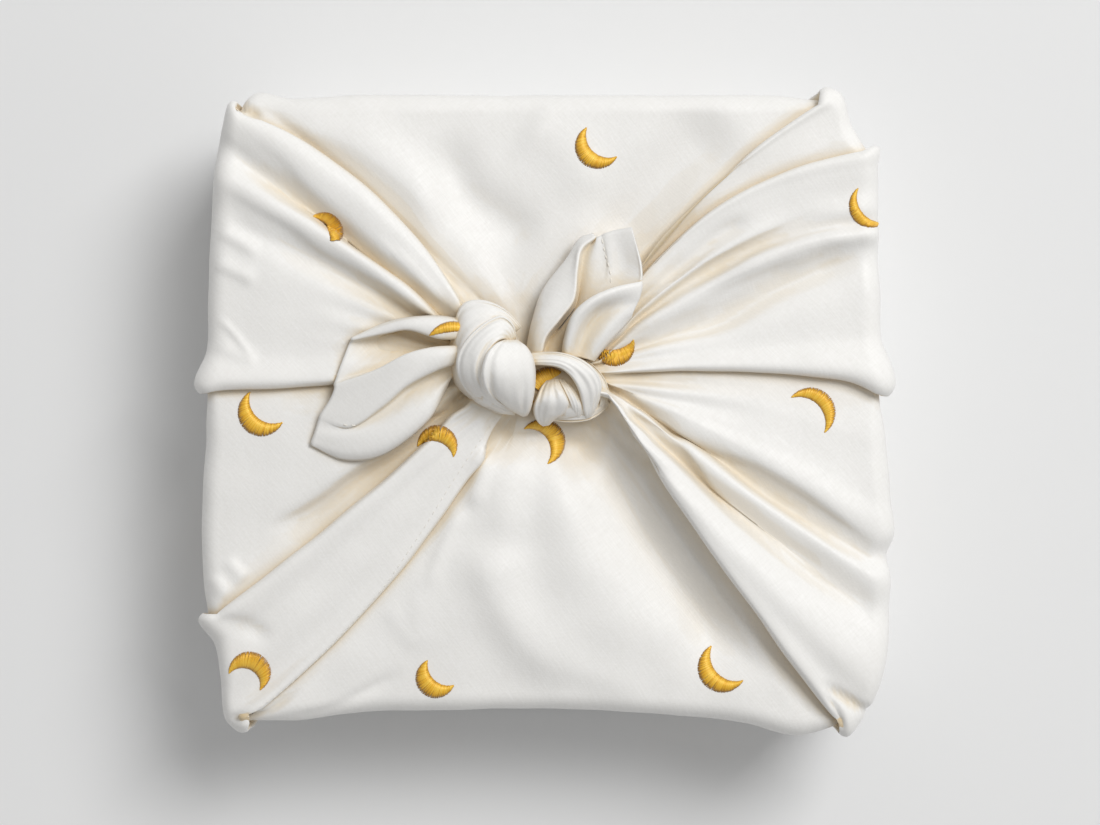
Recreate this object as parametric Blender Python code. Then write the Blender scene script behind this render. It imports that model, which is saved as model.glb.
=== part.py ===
"""A square cloth wrapped round a shallow box and tied on top, as one filled solid.

Metres, +Z up, origin on the resting face at the middle of the parcel. The top of the
parcel is seen as in a plan: +X to the right and +Y away. The tables below are in
millimetres from that middle, and heights are above the flat top of the box.
"""
from collections import namedtuple
from math import cos, pi, sin

import bmesh
import bpy
import numpy as np

MM = 0.001

# Driving sizes of the parcel, in millimetres.
TOP = 60.0
BASE_HALF_X = 110.0
BASE_HALF_Y = 101.0
BASE_SQUARENESS = 14.0
CORNER_TURN = 6.0
RIM_RADIUS = 5.0
RIM_DROP = 6.5
FOOT_RADIUS = 4.0
SIDE_DRAW_IN = 1.2
SIDE_SPLAY = 0.18
KNOT_CENTRE = (-5.0, 12.0)
KNOT_BED = 5.0
KNOT_SPACING = 0.3
FOOT_SPACING = 1.2
TAIL_THICKNESS = 1.8

# A stretch over which something changes smoothly: where it starts and how long it is, as
# shares of the way from the knot to the rim, or of the drop from the rim to the foot.
Stretch = namedtuple("Stretch", "start length")
EDGE_WIDENS = Stretch(0.04, 0.3)
EDGE_SINKS = Stretch(-0.06, 0.2)
EDGE_OPENS_ON_SIDE = Stretch(0.0, 0.7)
EDGE_LEVELS_ON_SIDE = Stretch(0.45, 0.55)
SPLAY_NEAR_END = Stretch(0.9, 0.08)

# Powers that set how points crowd to the knot, how an edge turns along the rim and how
# soon a side reaches the foot's line.
CROWD_AT_KNOT = 0.92
TURN_ALONG_RIM = 3.0
FALL_OF_SIDE = 0.8

# A wound band faces away from a point this share of its lump's height up, and its ends
# bulge by this share of its thickness.
BAND_FACES_FROM = 0.3
BAND_END_BULGE = 0.6

# How finely the cloth is divided.
STEPS_ON_TOP = 11
STEPS_ROUND_RIM = 3
STEPS_DOWN_SIDE = 3
STEPS_ROUND_FOOT = 2
COLUMNS_BETWEEN_ROWS = 1
STEPS_ALONG_BAND = 10
SIDES_OF_BAND = 8
STEPS_ALONG_TAIL = 8
LUMP_SEGMENTS = 16
LUMP_RINGS = 10
SHORTEST_GAP = 1e-6

# A fold line: where it leaves the knot, where it crosses the rim, how far it bows
# clockwise, and its height near the knot, half way and near the rim.
Fold = namedtuple("Fold", "name leave_x leave_y rim_x rim_y bow near mid far edge")

# A folded edge: which way its free side looks, the radius of its roll, how far the cloth
# below runs in under it, and the share of its height by which that cloth lies lower.
Edge = namedtuple("Edge", "faces roll tuck drop")

CLOCKWISE = 1
COUNTER = -1
EDGES = {
    "left top roll": Edge(CLOCKWISE, 1.6, 1.5, 0.85),
    "right upper": Edge(COUNTER, 0.7, 1.6, 0.85),
    "right second": Edge(COUNTER, 0.9, 1.4, 0.42),
    "right level": Edge(CLOCKWISE, 1.8, 2.6, 0.48),
    "right big roll": Edge(CLOCKWISE, 3.2, 3.2, 0.92),
    "left hem": Edge(COUNTER, 0.9, 2.4, 0.72),
    "left band": Edge(CLOCKWISE, 1.4, 2.2, 0.55),
    "left level": Edge(COUNTER, 1.8, 2.6, 0.48),
}

FOLDS = (
    # The flap that comes over the far side.
    Fold("far flap 1", -18, 33, -96.5, 105.4, 2, 0.5, 0.3, -1.5, None),
    Fold("far flap 2", -15, 32, -84, 104, 2, 0.6, 1.4, -0.8, None),
    Fold("far flap 3", -11, 31, -62, 105, 1, 0.8, 1.5, 0.4, None),
    Fold("far flap 4", -7, 30, -36, 105, 0, 0.8, -0.3, 0.2, None),
    Fold("far flap 5", -3, 29, -8, 105, 0, 0.8, 0.2, -0.4, None),
    Fold("far flap 6", 1, 27, 24, 105, 0, 0.9, 0.9, 0.3, None),
    Fold("far flap 7", 5, 26, 52, 105, 0, 0.9, 0.1, 0.2, None),
    Fold("far flap 8", 8, 25, 75, 105, -1, 0.8, 0.8, -0.5, None),
    # The right end of the cloth, gathered into the knot.
    Fold("right upper edge", 14, 22, 91, 107.2, -7, 5.0, 3.2, 2.2, "right upper"),
    Fold("right corner panel 1", 15, 21.6, 97, 106, -8.6, 4.6, 3.1, 1.6, None),
    Fold("right corner panel 2", 15.4, 21, 102, 94, -11.4, 4.4, 2.4, 1.6, None),
    Fold("right second edge", 16, 20.4, 109.6, 88.4, -14, 6.0, 4.6, 4.0, "right second"),
    Fold("right rise 1", 16.5, 19.6, 110, 81, -14, 6.2, 5.0, 4.2, None),
    Fold("right groove 1", 17, 18.8, 110, 73, -10.5, 4.6, 4.2, 3.4, None),
    Fold("right rise 2", 17.3, 18, 110, 67, -10, 6.4, 5.4, 4.0, None),
    Fold("right groove 2", 17.6, 17.2, 110.2, 62.5, -9.2, 4.8, 3.2, 3.0, None),
    Fold("right rise 3", 17.8, 16.4, 110.4, 58.5, -7.6, 6.6, 5.6, 4.8, None),
    Fold("right groove 3", 18, 15.6, 110.2, 53.5, 0.5, 4.6, 2.2, 2.2, None),
    Fold("right panel 1", 18.1, 14.9, 110.8, 40, 0.5, 5.6, 3.9, 3.4, None),
    Fold("right panel 2", 18.2, 14.1, 111.2, 25, -1, 6.2, 4.6, 3.2, None),
    Fold("right level edge", 18.2, 12.4, 114.6, 9, -2.6, 7.0, 5.6, 5.0, "right level"),
    Fold("right panel 3", 18.4, 10.9, 112.8, -10, -2, 5.2, 3.2, 2.4, None),
    Fold("right panel 4", 18.6, 10.2, 114.2, -28, -2.5, 5.4, 3.8, 3.0, None),
    Fold("right rise 4", 18.6, 9.6, 115.2, -41, -3.5, 5.6, 3.6, 3.4, None),
    Fold("right groove 4", 18.5, 8.9, 113.4, -47.5, 0, 3.8, 0.8, 1.4, None),
    Fold("right rise 5", 18.4, 8.2, 114, -54, 2, 6.6, 5.0, 4.2, None),
    Fold("right groove 5", 18.2, 7.5, 113.6, -61, 7, 3.8, 1.2, 2.4, None),
    Fold("right roll shoulder", 18, 6.8, 113.8, -72, 4.5, 7.6, 6.8, 4.6, None),
    Fold("right roll crest", 17.8, 6.0, 110.4, -91, 4.0, 9.6, 10.0, 6.0, None),
    Fold("right corner dent", 17.4, 5.4, 109.6, -101, 3.2, 9.4, 9.6, 1.2, None),
    Fold("right roll edge", 16.8, 4.4, 97.4, -107.6, 0.5, 8.2, 7.8, 3.2, "right big roll"),
    # The flap that comes over the near side.
    Fold("near flap 1", 13, 1.6, 84, -107.2, 0, 0.4, 0.2, 0.4, None),
    Fold("near flap 2", 10, 1.0, 66, -103, 1, 0.5, 2.2, 2.6, None),
    Fold("near flap 3", 6, 0.5, 42, -100.6, 2, 0.6, -0.2, 0.2, None),
    Fold("near flap 4", 2, 0.2, 18, -98.8, 0, 0.8, 1.4, 0.8, None),
    Fold("near flap 5", -2, 0.2, -6, -98.6, 0, 0.8, 0.2, -0.3, None),
    Fold("near flap 6", -5, 0.4, -30, -98.8, 0, 0.6, 1.2, 0.9, None),
    Fold("near flap 7", -8, 0.9, -58, -99.6, -2, 0.4, 0.4, -0.6, None),
    Fold("near flap 8", -9.4, 1.6, -81, -102.2, -5, 0.2, 0.8, 0.6, None),
    # The left end of the cloth, gathered into the knot.
    Fold("left hem edge", -11, 2.6, -98.6, -106.2, -7, 4.6, 2.8, 1.8, "left hem"),
    Fold("left corner fold", -12.6, 3.4, -104.8, -103.6, -6, 4.9, 3.0, -0.8, None),
    Fold("left band 1", -15, 4.2, -107.4, -88, -5.2, 5.4, 3.4, 2.4, None),
    Fold("left band 2", -18.4, 5.2, -109.4, -77, -3.6, 6.0, 4.0, 2.4, None),
    Fold("left band edge", -22, 6.6, -114.2, -66.5, -1.8, 6.4, 5.0, 4.8, "left band"),
    Fold("left groove 1", -24.6, 8.0, -112.6, -58, -2.4, 2.4, 0.6, 2.2, None),
    Fold("left panel 1", -26, 9.4, -113.6, -44, -2, 4.2, 3.0, 2.6, None),
    Fold("left panel 2", -27, 11, -113.2, -24, -1.2, 4.6, 3.2, 2.4, None),
    Fold("left panel 3", -27.8, 12.8, -112.2, -6, -1.6, 4.4, 2.8, 2.2, None),
    Fold("left level edge", -28.4, 15.4, -115.2, 7.6, -2.6, 7.2, 5.6, 5.0, "left level"),
    Fold("left panel 4", -28.8, 17.6, -112.2, 20, -1, 6.2, 4.6, 3.4, None),
    Fold("left panel 5", -29.2, 19.6, -111.4, 38, 0, 5.8, 4.8, 3.2, None),
    Fold("left panel 6", -29.4, 21.4, -110.8, 55, 0.5, 5.6, 4.2, 3.2, None),
    Fold("left groove 2", -29.4, 23.2, -110, 67, 1, 4.0, 1.6, 2.2, None),
    Fold("left rise 1", -29, 25, -109.4, 76.6, 3.4, 7.6, 6.0, 4.6, None),
    Fold("left groove 3", -28.2, 27, -107.6, 89, -0.6, 3.8, 0.8, 1.8, None),
    Fold("left roll low side", -27.4, 28.6, -106.4, 94.6, 4.2, 6.4, 5.4, 3.6, None),
    Fold("left roll edge", -25, 31.4, -101.8, 103.2, 9.2, 7.6, 5.6, 3.6, "left top roll"),
)

# A wound band of the knot: a section is its centre, with the height above the box's top,
# its half width and its half thickness.
Section = namedtuple("Section", "x y rise half_width half_thickness")

# A lump of cloth inside the knot: its centre and its three half sizes.
Lump = namedtuple("Lump", "x y rise half_x half_y half_z")

KNOT_LUMPS = {
    "left turn": Lump(-16.6, 16.8, 11.0, 11.4, 16.2, 15.0),
    "right turn": Lump(6.8, 7.2, 8.0, 11.4, 9.6, 8.6),
}

KNOT_BANDS = {
    "left turn, outer": (
        Section(-9.6, 30.6, 9.0, 2.0, 2.0),
        Section(-17.4, 33.4, 14.0, 4.4, 2.8),
        Section(-25.4, 28.0, 15.6, 5.0, 3.2),
        Section(-28.2, 18.4, 15.0, 4.8, 3.2),
        Section(-26.8, 8.8, 11.6, 4.6, 3.0),
        Section(-20.0, 2.6, 7.0, 4.0, 2.8),
    ),
    "left turn, middle": (
        Section(-10.0, 28.8, 15.0, 2.2, 2.4),
        Section(-17.6, 26.8, 21.6, 5.0, 3.2),
        Section(-23.6, 18.4, 22.8, 5.8, 3.4),
        Section(-23.4, 9.2, 18.6, 5.4, 3.4),
        Section(-17.6, 2.8, 11.6, 4.4, 3.0),
        Section(-11.0, -0.2, 6.0, 3.0, 2.4),
    ),
    "left turn, front": (
        Section(-9.4, 25.6, 17.0, 3.6, 2.8),
        Section(-11.6, 21.6, 24.6, 6.8, 3.8),
        Section(-11.8, 13.6, 28.0, 8.6, 4.2),
        Section(-10.4, 5.4, 23.4, 7.4, 4.0),
        Section(-7.8, 0.6, 14.0, 4.4, 3.4),
        Section(-6.6, 0.4, 5.0, 3.0, 2.6),
    ),
    "right turn, arch": (
        Section(-4.6, 16.8, 12.0, 3.0, 3.0),
        Section(1.8, 17.4, 17.4, 3.4, 3.4),
        Section(9.0, 15.6, 20.0, 3.8, 3.6),
        Section(14.6, 10.8, 19.0, 4.2, 3.6),
        Section(15.8, 5.2, 15.0, 3.8, 3.4),
        Section(13.8, 0.6, 8.4, 2.8, 2.8),
        Section(12.6, -0.2, 3.0, 2.2, 2.2),
    ),
    "right turn, outer": (
        Section(8.8, 16.8, 10.4, 2.4, 2.4),
        Section(15.8, 13.2, 11.6, 2.6, 2.4),
        Section(19.0, 8.4, 9.6, 2.4, 2.4),
        Section(18.6, 3.6, 5.0, 2.2, 2.2),
    ),
    "right turn, inner fold 1": (
        Section(1.6, 11.2, 13.0, 2.6, 2.4),
        Section(0.2, 5.0, 14.8, 3.8, 3.2),
        Section(-0.6, -0.6, 9.6, 3.2, 3.0),
        Section(-0.4, -2.6, 3.0, 2.2, 2.2),
    ),
    "right turn, inner fold 2": (
        Section(5.2, 10.4, 13.0, 2.0, 2.2),
        Section(7.4, 5.0, 13.8, 2.8, 2.8),
        Section(9.2, 0.4, 8.6, 2.4, 2.4),
        Section(9.6, -1.0, 3.0, 2.0, 2.0),
    ),
    "right turn, under layer": (
        Section(1.4, -1.2, 3.0, 1.8, 2.2),
        Section(8.2, -2.0, 4.0, 2.2, 2.4),
        Section(15.4, -0.4, 3.6, 2.2, 2.4),
        Section(19.2, 3.2, 3.0, 1.8, 2.0),
    ),
}

# A lengthwise line of a tail: four points from the knot to the free end, each as x, y and
# its height above the box's top.
Line = namedtuple("Line", "name base third two_thirds end")

LEFT_TAIL = (
    Line("outer lip", (-28, 30.5, 8), (-38, 31.5, 8.5), (-49.5, 30, 8.5), (-63.5, 23, 7.5)),
    Line("lip crest", (-28, 27.5, 12), (-38, 28.5, 12.5), (-49, 28, 12), (-64.5, 21, 9.5)),
    Line("lip inside", (-28, 24.5, 11), (-37.5, 24.7, 11), (-48.5, 26, 11), (-65.7, 19, 9)),
    Line("mouth", (-28, 22.5, 8), (-38.5, 21.8, 7.6), (-50, 21.8, 7), (-67, 16, 8)),
    Line("mouth floor", (-28, 20.8, 9), (-39.5, 19.5, 9), (-52, 15.5, 8.5), (-68.3, 11.5, 8.8)),
    Line("upper fold", (-28, 19.4, 12.5), (-39.5, 17.8, 12.8), (-52, 13.8, 12), (-69, 8.6, 10)),
    Line("middle", (-28, 17.6, 13), (-40, 15.0, 13.2), (-53.5, 9.4, 12.2), (-69.6, 5.3, 9)),
    Line("lower fold", (-28, 15.8, 12), (-40, 11.5, 13), (-53, 3.2, 11.8), (-71.3, 1.3, 8.5)),
    Line("under fold", (-28, 14.2, 8.5), (-40.3, 9.6, 9), (-53.8, 0.6, 9.4), (-72.3, -0.9, 8)),
    Line("lower panel", (-29.4, 12.8, 8), (-40, 4.6, 10.4), (-54.5, -4, 10.2), (-74.6, -5.6, 7)),
    Line("near side", (-30.7, 10.9, 7), (-39.6, -1, 8.8), (-55, -9.9, 8.6), (-76.9, -10.2, 6.4)),
    Line("outline", (-32, 8.6, 6.6), (-41.3, -6, 7), (-55.8, -14.9, 6.6), (-70.6, -14, 5.6)),
)

RIGHT_TAIL = (
    Line("outline", (-5.3, 19.8, 8), (-4, 30.4, 8.5), (0.3, 40.6, 8.5), (10.6, 54.5, 8)),
    Line("outer lobe", (-3.8, 19, 12), (-1.3, 28.7, 13), (3.6, 38.6, 13), (11.6, 55.4, 11)),
    Line("lip crest", (-2.4, 19, 13), (1.1, 28, 13.5), (8.4, 37, 13.5), (12.9, 56.6, 12)),
    Line("lip inside", (-0.8, 19, 9), (3, 27, 8.6), (10.6, 37.6, 9), (14.6, 57.6, 9)),
    Line("trough", (1.7, 18.8, 7), (6.3, 26.7, 6.6), (14.9, 41, 7), (17.2, 58, 8)),
    Line("seam", (4.3, 18.5, 7), (9.6, 27, 7), (19.8, 43.6, 8.6), (19.9, 58.7, 9)),
    Line("inner face", (8.9, 17.8, 7), (15.5, 27.7, 7), (25.4, 45.2, 9), (23.8, 59.9, 9.6)),
    Line("free edge", (16, 16.9, 7), (25, 27.9, 8.6), (31.7, 42.9, 11), (28.4, 60.7, 10.6)),
)

RIGHT_TAIL_FRONT = (
    Line("lip edge", (5.6, 18.5, 9.4), (7.9, 28.7, 12.4), (16.8, 37.5, 13), (31.7, 43.2, 13)),
    Line("lip crest", (6.8, 18.5, 11), (9.9, 28.4, 14.8), (18.2, 35.6, 15), (30.9, 40, 14)),
    Line("lip inside", (8.2, 18.2, 9.4), (11.9, 27.2, 11), (19.1, 33.2, 11.6), (29.9, 36.6, 12.4)),
    Line("hollow", (10.4, 17.8, 8.6), (14.9, 24.9, 9), (20.8, 29.3, 9.6), (27.8, 31.4, 11)),
    Line("near side", (14.4, 16.8, 8), (18.6, 20.6, 8.4), (22.2, 23.6, 9), (26, 27.2, 9.8)),
)


def smooth_step(value):
    """Rises from 0 to 1 with level ends."""
    value = np.clip(value, 0.0, 1.0)
    return value * value * (3.0 - 2.0 * value)


def change_over(stretch, part_way):
    """Rises from 0 to 1 over a stretch of the way."""
    return smooth_step((part_way - stretch.start) / stretch.length)


def height_along(near, mid, far, part_way):
    """A parabola through the heights near the knot, half way and near the rim."""
    return (
        near * (1 - 2 * part_way) * (1 - part_way)
        + mid * 4 * part_way * (1 - part_way)
        + far * part_way * (2 * part_way - 1)
    )


def outward(x, y):
    """The plan direction that looks out of the parcel's side at a rim point."""
    grow_x = np.sign(x) * abs(x / BASE_HALF_X) ** CORNER_TURN / BASE_HALF_X
    grow_y = np.sign(y) * abs(y / BASE_HALF_Y) ** CORNER_TURN / BASE_HALF_Y
    direction = np.array([grow_x, grow_y])
    return direction / np.linalg.norm(direction)


def foot_below(x, y):
    """The point of the base outline that a rim point's cloth runs down to."""
    side_share = change_over(SPLAY_NEAR_END, abs(x) / BASE_HALF_X)
    spread = y + side_share * SIDE_SPLAY * y * (1 - min(1.0, (y / BASE_HALF_Y) ** 2))
    size = abs(x / BASE_HALF_X) ** BASE_SQUARENESS + abs(spread / BASE_HALF_Y) ** BASE_SQUARENESS
    return np.array([x, spread]) * size ** (-1.0 / BASE_SQUARENESS)


def column_of(fold, sideways, sunk, order):
    """One line of points from the knot over the top, the rim and the side to the foot.

    sideways moves the line clockwise and sunk lowers it by that share of the fold's
    height. order is the line's place in a folded edge: the lines lie apart in this order
    at the knot and at the foot, where the fold has opened out.
    """
    start = np.array([fold.leave_x, fold.leave_y])
    rim = np.array([fold.rim_x, fold.rim_y])
    out = outward(*rim)
    along = np.array([out[1], -out[0]])
    inner_rim = rim - out * RIM_RADIUS
    chord = inner_rim - start
    clockwise = np.array([chord[1], -chord[0]]) / np.linalg.norm(chord)
    points = []
    for step in range(STEPS_ON_TOP + 1):
        way = (step / STEPS_ON_TOP) ** CROWD_AT_KNOT
        grown = change_over(EDGE_WIDENS, way)
        across = clockwise + (along - clockwise) * way**TURN_ALONG_RIM
        across = across / np.linalg.norm(across)
        shift = order * KNOT_SPACING * (1 - grown) + sideways * grown
        plan = start + chord * way + clockwise * fold.bow * 4 * way * (1 - way) + across * shift
        height = height_along(fold.near, fold.mid, fold.far, way)
        height -= sunk * height * change_over(EDGE_SINKS, way)
        points.append((plan[0], plan[1], TOP + height))
    top_end = TOP + fold.far
    depth = sunk * abs(fold.far)
    for step in range(1, STEPS_ROUND_RIM + 1):
        angle = 0.5 * pi * step / STEPS_ROUND_RIM
        plan = inner_rim + out * (RIM_RADIUS - depth) * sin(angle) + along * sideways
        points.append((plan[0], plan[1], top_end - depth * cos(angle) - RIM_DROP * (1 - cos(angle))))
    side_top = top_end - RIM_DROP
    foot = foot_below(*(rim + along * order * FOOT_SPACING))
    for step in range(1, STEPS_DOWN_SIDE + 1):
        down = step / STEPS_DOWN_SIDE
        opened = change_over(EDGE_OPENS_ON_SIDE, down)
        still_sunk = 1 - change_over(EDGE_LEVELS_ON_SIDE, down)
        shift = sideways * (1 - opened) + order * FOOT_SPACING * opened
        hanging = rim + along * shift
        plan = hanging + (foot - hanging) * smooth_step(down) ** FALL_OF_SIDE
        plan = plan - out * (depth * still_sunk + SIDE_DRAW_IN * 4 * down * (1 - down))
        points.append((plan[0], plan[1], side_top + (FOOT_RADIUS - side_top) * down))
    for step in range(1, STEPS_ROUND_FOOT + 1):
        angle = 0.5 * pi * step / STEPS_ROUND_FOOT
        plan = foot - out * FOOT_RADIUS * (1 - cos(angle))
        points.append((plan[0], plan[1], FOOT_RADIUS * (1 - sin(angle))))
    return np.array(points)


def columns_of_cloth():
    """All the named lines in clockwise order, with three lines for a folded edge."""
    columns = []
    for fold in FOLDS:
        if fold.edge is None:
            columns.append(column_of(fold, 0.0, 0.0, 0.0))
            continue
        edge = EDGES[fold.edge]
        crest = column_of(fold, -edge.faces * edge.roll, 0.0, -edge.faces)
        nose = column_of(fold, 0.0, 0.5 * edge.drop, 0.0)
        tuck = column_of(fold, -edge.faces * edge.tuck, edge.drop, edge.faces)
        trio = [crest, nose, tuck]
        columns.extend(trio if edge.faces == CLOCKWISE else reversed(trio))
    return np.array(columns)


def rounded_between(columns, extra):
    """Adds columns between the given ones along smooth curves that close in a ring."""
    after = np.roll(columns, -1, axis=0)
    before = np.roll(columns, 1, axis=0)
    ahead = np.maximum(np.linalg.norm(after - columns, axis=2, keepdims=True), SHORTEST_GAP)
    behind = np.maximum(np.linalg.norm(columns - before, axis=2, keepdims=True), SHORTEST_GAP)
    lean = ((after - columns) / ahead * behind + (columns - before) / behind * ahead) / (ahead + behind)
    next_lean = np.roll(lean, -1, axis=0)
    rows = []
    for index in range(len(columns)):
        rows.append(columns[index])
        for number in range(1, extra + 1):
            part = number / (extra + 1)
            reach = ahead[index]
            rows.append(
                columns[index] * (2 * part**3 - 3 * part**2 + 1)
                + lean[index] * reach * (part**3 - 2 * part**2 + part)
                + after[index] * (3 * part**2 - 2 * part**3)
                + next_lean[index] * reach * (part**3 - part**2)
            )
    return np.array(rows)


def mesh_object(name, vertices, faces, collection):
    """A mesh object at the origin from points in millimetres."""
    mesh = bpy.data.meshes.new(name)
    mesh.from_pydata([tuple(MM * value for value in point) for point in vertices], [], faces)
    mesh.validate()
    solid = bpy.data.objects.new(name, mesh)
    collection.objects.link(solid)
    return solid


def ring_faces(ring_count, ring_size):
    """Quads between rings of points, each ring closed."""
    faces = []
    for ring in range(ring_count - 1):
        for point in range(ring_size):
            beside = (point + 1) % ring_size
            faces.append(
                (
                    ring * ring_size + point,
                    ring * ring_size + beside,
                    (ring + 1) * ring_size + beside,
                    (ring + 1) * ring_size + point,
                )
            )
    return faces


def parcel(collection):
    """The wrapped parcel without its knot: the cloth's outer face round the filled box."""
    columns = rounded_between(columns_of_cloth(), COLUMNS_BETWEEN_ROWS)
    ring_size = len(columns)
    rings = np.swapaxes(columns, 0, 1)
    rings[-1, :, 2] = 0.0
    vertices = [tuple(point) for ring in rings for point in ring]
    faces = ring_faces(len(rings), ring_size)
    middle = len(vertices)
    vertices.append((KNOT_CENTRE[0], KNOT_CENTRE[1], TOP + KNOT_BED))
    base = len(vertices)
    vertices.append((0.0, 0.0, 0.0))
    last_ring = (len(rings) - 1) * ring_size
    for point in range(ring_size):
        beside = (point + 1) % ring_size
        faces.append((middle, beside, point))
        faces.append((base, last_ring + point, last_ring + beside))
    return mesh_object("wrap_cloth", vertices, faces, collection)


def curve_through(points, count):
    """Points evenly spread in number along a smooth open curve through the given ones."""
    points = np.array(points, dtype=float)
    padded = np.vstack([2 * points[0] - points[1], points, 2 * points[-1] - points[-2]])
    curve = []
    for position in np.linspace(0, len(points) - 1, count):
        index = min(int(position), len(points) - 2)
        part = position - index
        first, start, end, last = padded[index : index + 4]
        curve.append(
            0.5
            * (
                2 * start
                + (end - first) * part
                + (2 * first - 5 * start + 4 * end - last) * part**2
                + (3 * start - first - 3 * end + last) * part**3
            )
        )
    return np.array(curve)


def knot_lump(name, lump, collection):
    """A round lump that fills the inside of one turn of the knot."""
    ball = bmesh.new()
    bmesh.ops.create_uvsphere(ball, u_segments=LUMP_SEGMENTS, v_segments=LUMP_RINGS, radius=MM)
    bmesh.ops.scale(ball, verts=ball.verts, vec=(lump.half_x, lump.half_y, lump.half_z))
    bmesh.ops.translate(ball, verts=ball.verts, vec=(MM * lump.x, MM * lump.y, MM * (TOP + lump.rise)))
    mesh = bpy.data.meshes.new(name)
    ball.to_mesh(mesh)
    ball.free()
    solid = bpy.data.objects.new(name, mesh)
    collection.objects.link(solid)
    return solid


def knot_band(name, sections, core, collection):
    """A flattened tube of cloth wound over the knot, its flat side facing away from the core."""
    rows = [(s.x, s.y, TOP + s.rise, s.half_width, s.half_thickness) for s in sections]
    path = curve_through(rows, STEPS_ALONG_BAND)
    centres = path[:, :3]
    tangents = np.gradient(centres, axis=0)
    tangents /= np.linalg.norm(tangents, axis=1, keepdims=True)
    middle = np.array([core.x, core.y, TOP + BAND_FACES_FROM * core.rise])
    vertices = []
    for centre, tangent, sizes in zip(centres, tangents, path[:, 3:]):
        across = np.cross(tangent, centre - middle)
        across /= np.linalg.norm(across)
        outwards = np.cross(across, tangent)
        for side in range(SIDES_OF_BAND):
            angle = 2 * pi * side / SIDES_OF_BAND
            point = centre + across * sizes[0] * cos(angle) + outwards * sizes[1] * sin(angle)
            vertices.append(tuple(point))
    faces = ring_faces(STEPS_ALONG_BAND, SIDES_OF_BAND)
    first_end = len(vertices)
    vertices.append(tuple(centres[0] - tangents[0] * path[0, 4] * BAND_END_BULGE))
    last_end = len(vertices)
    vertices.append(tuple(centres[-1] + tangents[-1] * path[-1, 4] * BAND_END_BULGE))
    last_ring = (STEPS_ALONG_BAND - 1) * SIDES_OF_BAND
    for side in range(SIDES_OF_BAND):
        beside = (side + 1) % SIDES_OF_BAND
        faces.append((first_end, beside, side))
        faces.append((last_end, last_ring + side, last_ring + beside))
    band = mesh_object(name, vertices, faces, collection)
    face_outwards(band)
    return band


def face_outwards(solid):
    """Turns the faces of a closed mesh to point out of it."""
    cage = bmesh.new()
    cage.from_mesh(solid.data)
    bmesh.ops.recalc_face_normals(cage, faces=cage.faces)
    cage.to_mesh(solid.data)
    cage.free()


def tail(name, lines, collection):
    """One free end of the cloth: a sheet through its lengthwise lines, given its thickness."""
    grid = []
    for line in lines:
        places = (line.base, line.third, line.two_thirds, line.end)
        points = [(x, y, TOP + rise) for x, y, rise in places]
        grid.append(curve_through(points, STEPS_ALONG_TAIL))
    grid = np.swapaxes(np.array(grid), 0, 1)
    across_count = 2 * len(lines) - 1
    rows = [curve_through(row, across_count) for row in grid]
    vertices = [tuple(point) for row in rows for point in row]
    faces = []
    for row in range(STEPS_ALONG_TAIL - 1):
        for place in range(across_count - 1):
            corner = row * across_count + place
            faces.append((corner, corner + 1, corner + across_count + 1, corner + across_count))
    under = len(vertices)
    vertices += [(x, y, z - TAIL_THICKNESS) for x, y, z in vertices]
    faces += [tuple(corner + under for corner in reversed(face)) for face in faces]
    rim = list(range(across_count))
    rim += [row * across_count + across_count - 1 for row in range(1, STEPS_ALONG_TAIL)]
    rim += [(STEPS_ALONG_TAIL - 1) * across_count + place for place in range(across_count - 2, -1, -1)]
    rim += [row * across_count for row in range(STEPS_ALONG_TAIL - 2, 0, -1)]
    for place, corner in enumerate(rim):
        beside = rim[(place + 1) % len(rim)]
        faces.append((beside, corner, corner + under, beside + under))
    sheet = mesh_object(name, vertices, faces, collection)
    face_outwards(sheet)
    return sheet


def knot_and_tails(collection):
    """Every piece of the knot and both free ends, ready to be joined to the parcel."""
    for name, lump in KNOT_LUMPS.items():
        knot_lump(name, lump, collection)
    for name, sections in KNOT_BANDS.items():
        core = KNOT_LUMPS["left turn" if name.startswith("left") else "right turn"]
        knot_band(name, sections, core, collection)
    tail("left tail", LEFT_TAIL, collection)
    tail("right tail", RIGHT_TAIL, collection)
    tail("right tail front", RIGHT_TAIL_FRONT, collection)
    for piece in collection.objects:
        piece.hide_render = True
        piece.display_type = "WIRE"


def join_in_one(wrap, pieces):
    """Joins the pieces to the parcel and fills the closed pockets that are left between them."""
    join = wrap.modifiers.new("knot and tails", "BOOLEAN")
    join.operation = "UNION"
    join.solver = "EXACT"
    join.operand_type = "COLLECTION"
    join.use_self = True
    join.collection = pieces
    seen = wrap.evaluated_get(bpy.context.evaluated_depsgraph_get())
    joined = bpy.data.meshes.new_from_object(seen)
    wrap.modifiers.clear()
    wrap.data = joined
    skin = bmesh.new()
    skin.from_mesh(joined)
    groups = []
    waiting = set(skin.verts)
    while waiting:
        front = [waiting.pop()]
        group = set(front)
        while front:
            point = front.pop()
            for edge in point.link_edges:
                other = edge.other_vert(point)
                if other in waiting:
                    waiting.remove(other)
                    group.add(other)
                    front.append(other)
        groups.append(group)
    groups.sort(key=len)
    for group in groups[:-1]:
        bmesh.ops.delete(skin, geom=list(group), context="VERTS")
    skin.to_mesh(joined)
    skin.free()


def cotton_finish():
    """Ivory cotton sateen."""
    material = bpy.data.materials.new("ivory_cotton")
    material.use_nodes = True
    shader = material.node_tree.nodes["Principled BSDF"]
    shader.inputs["Base Color"].default_value = (0.86, 0.84, 0.79, 1.0)
    shader.inputs["Roughness"].default_value = 0.62
    shader.inputs["Metallic"].default_value = 0.0
    return material


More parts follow.
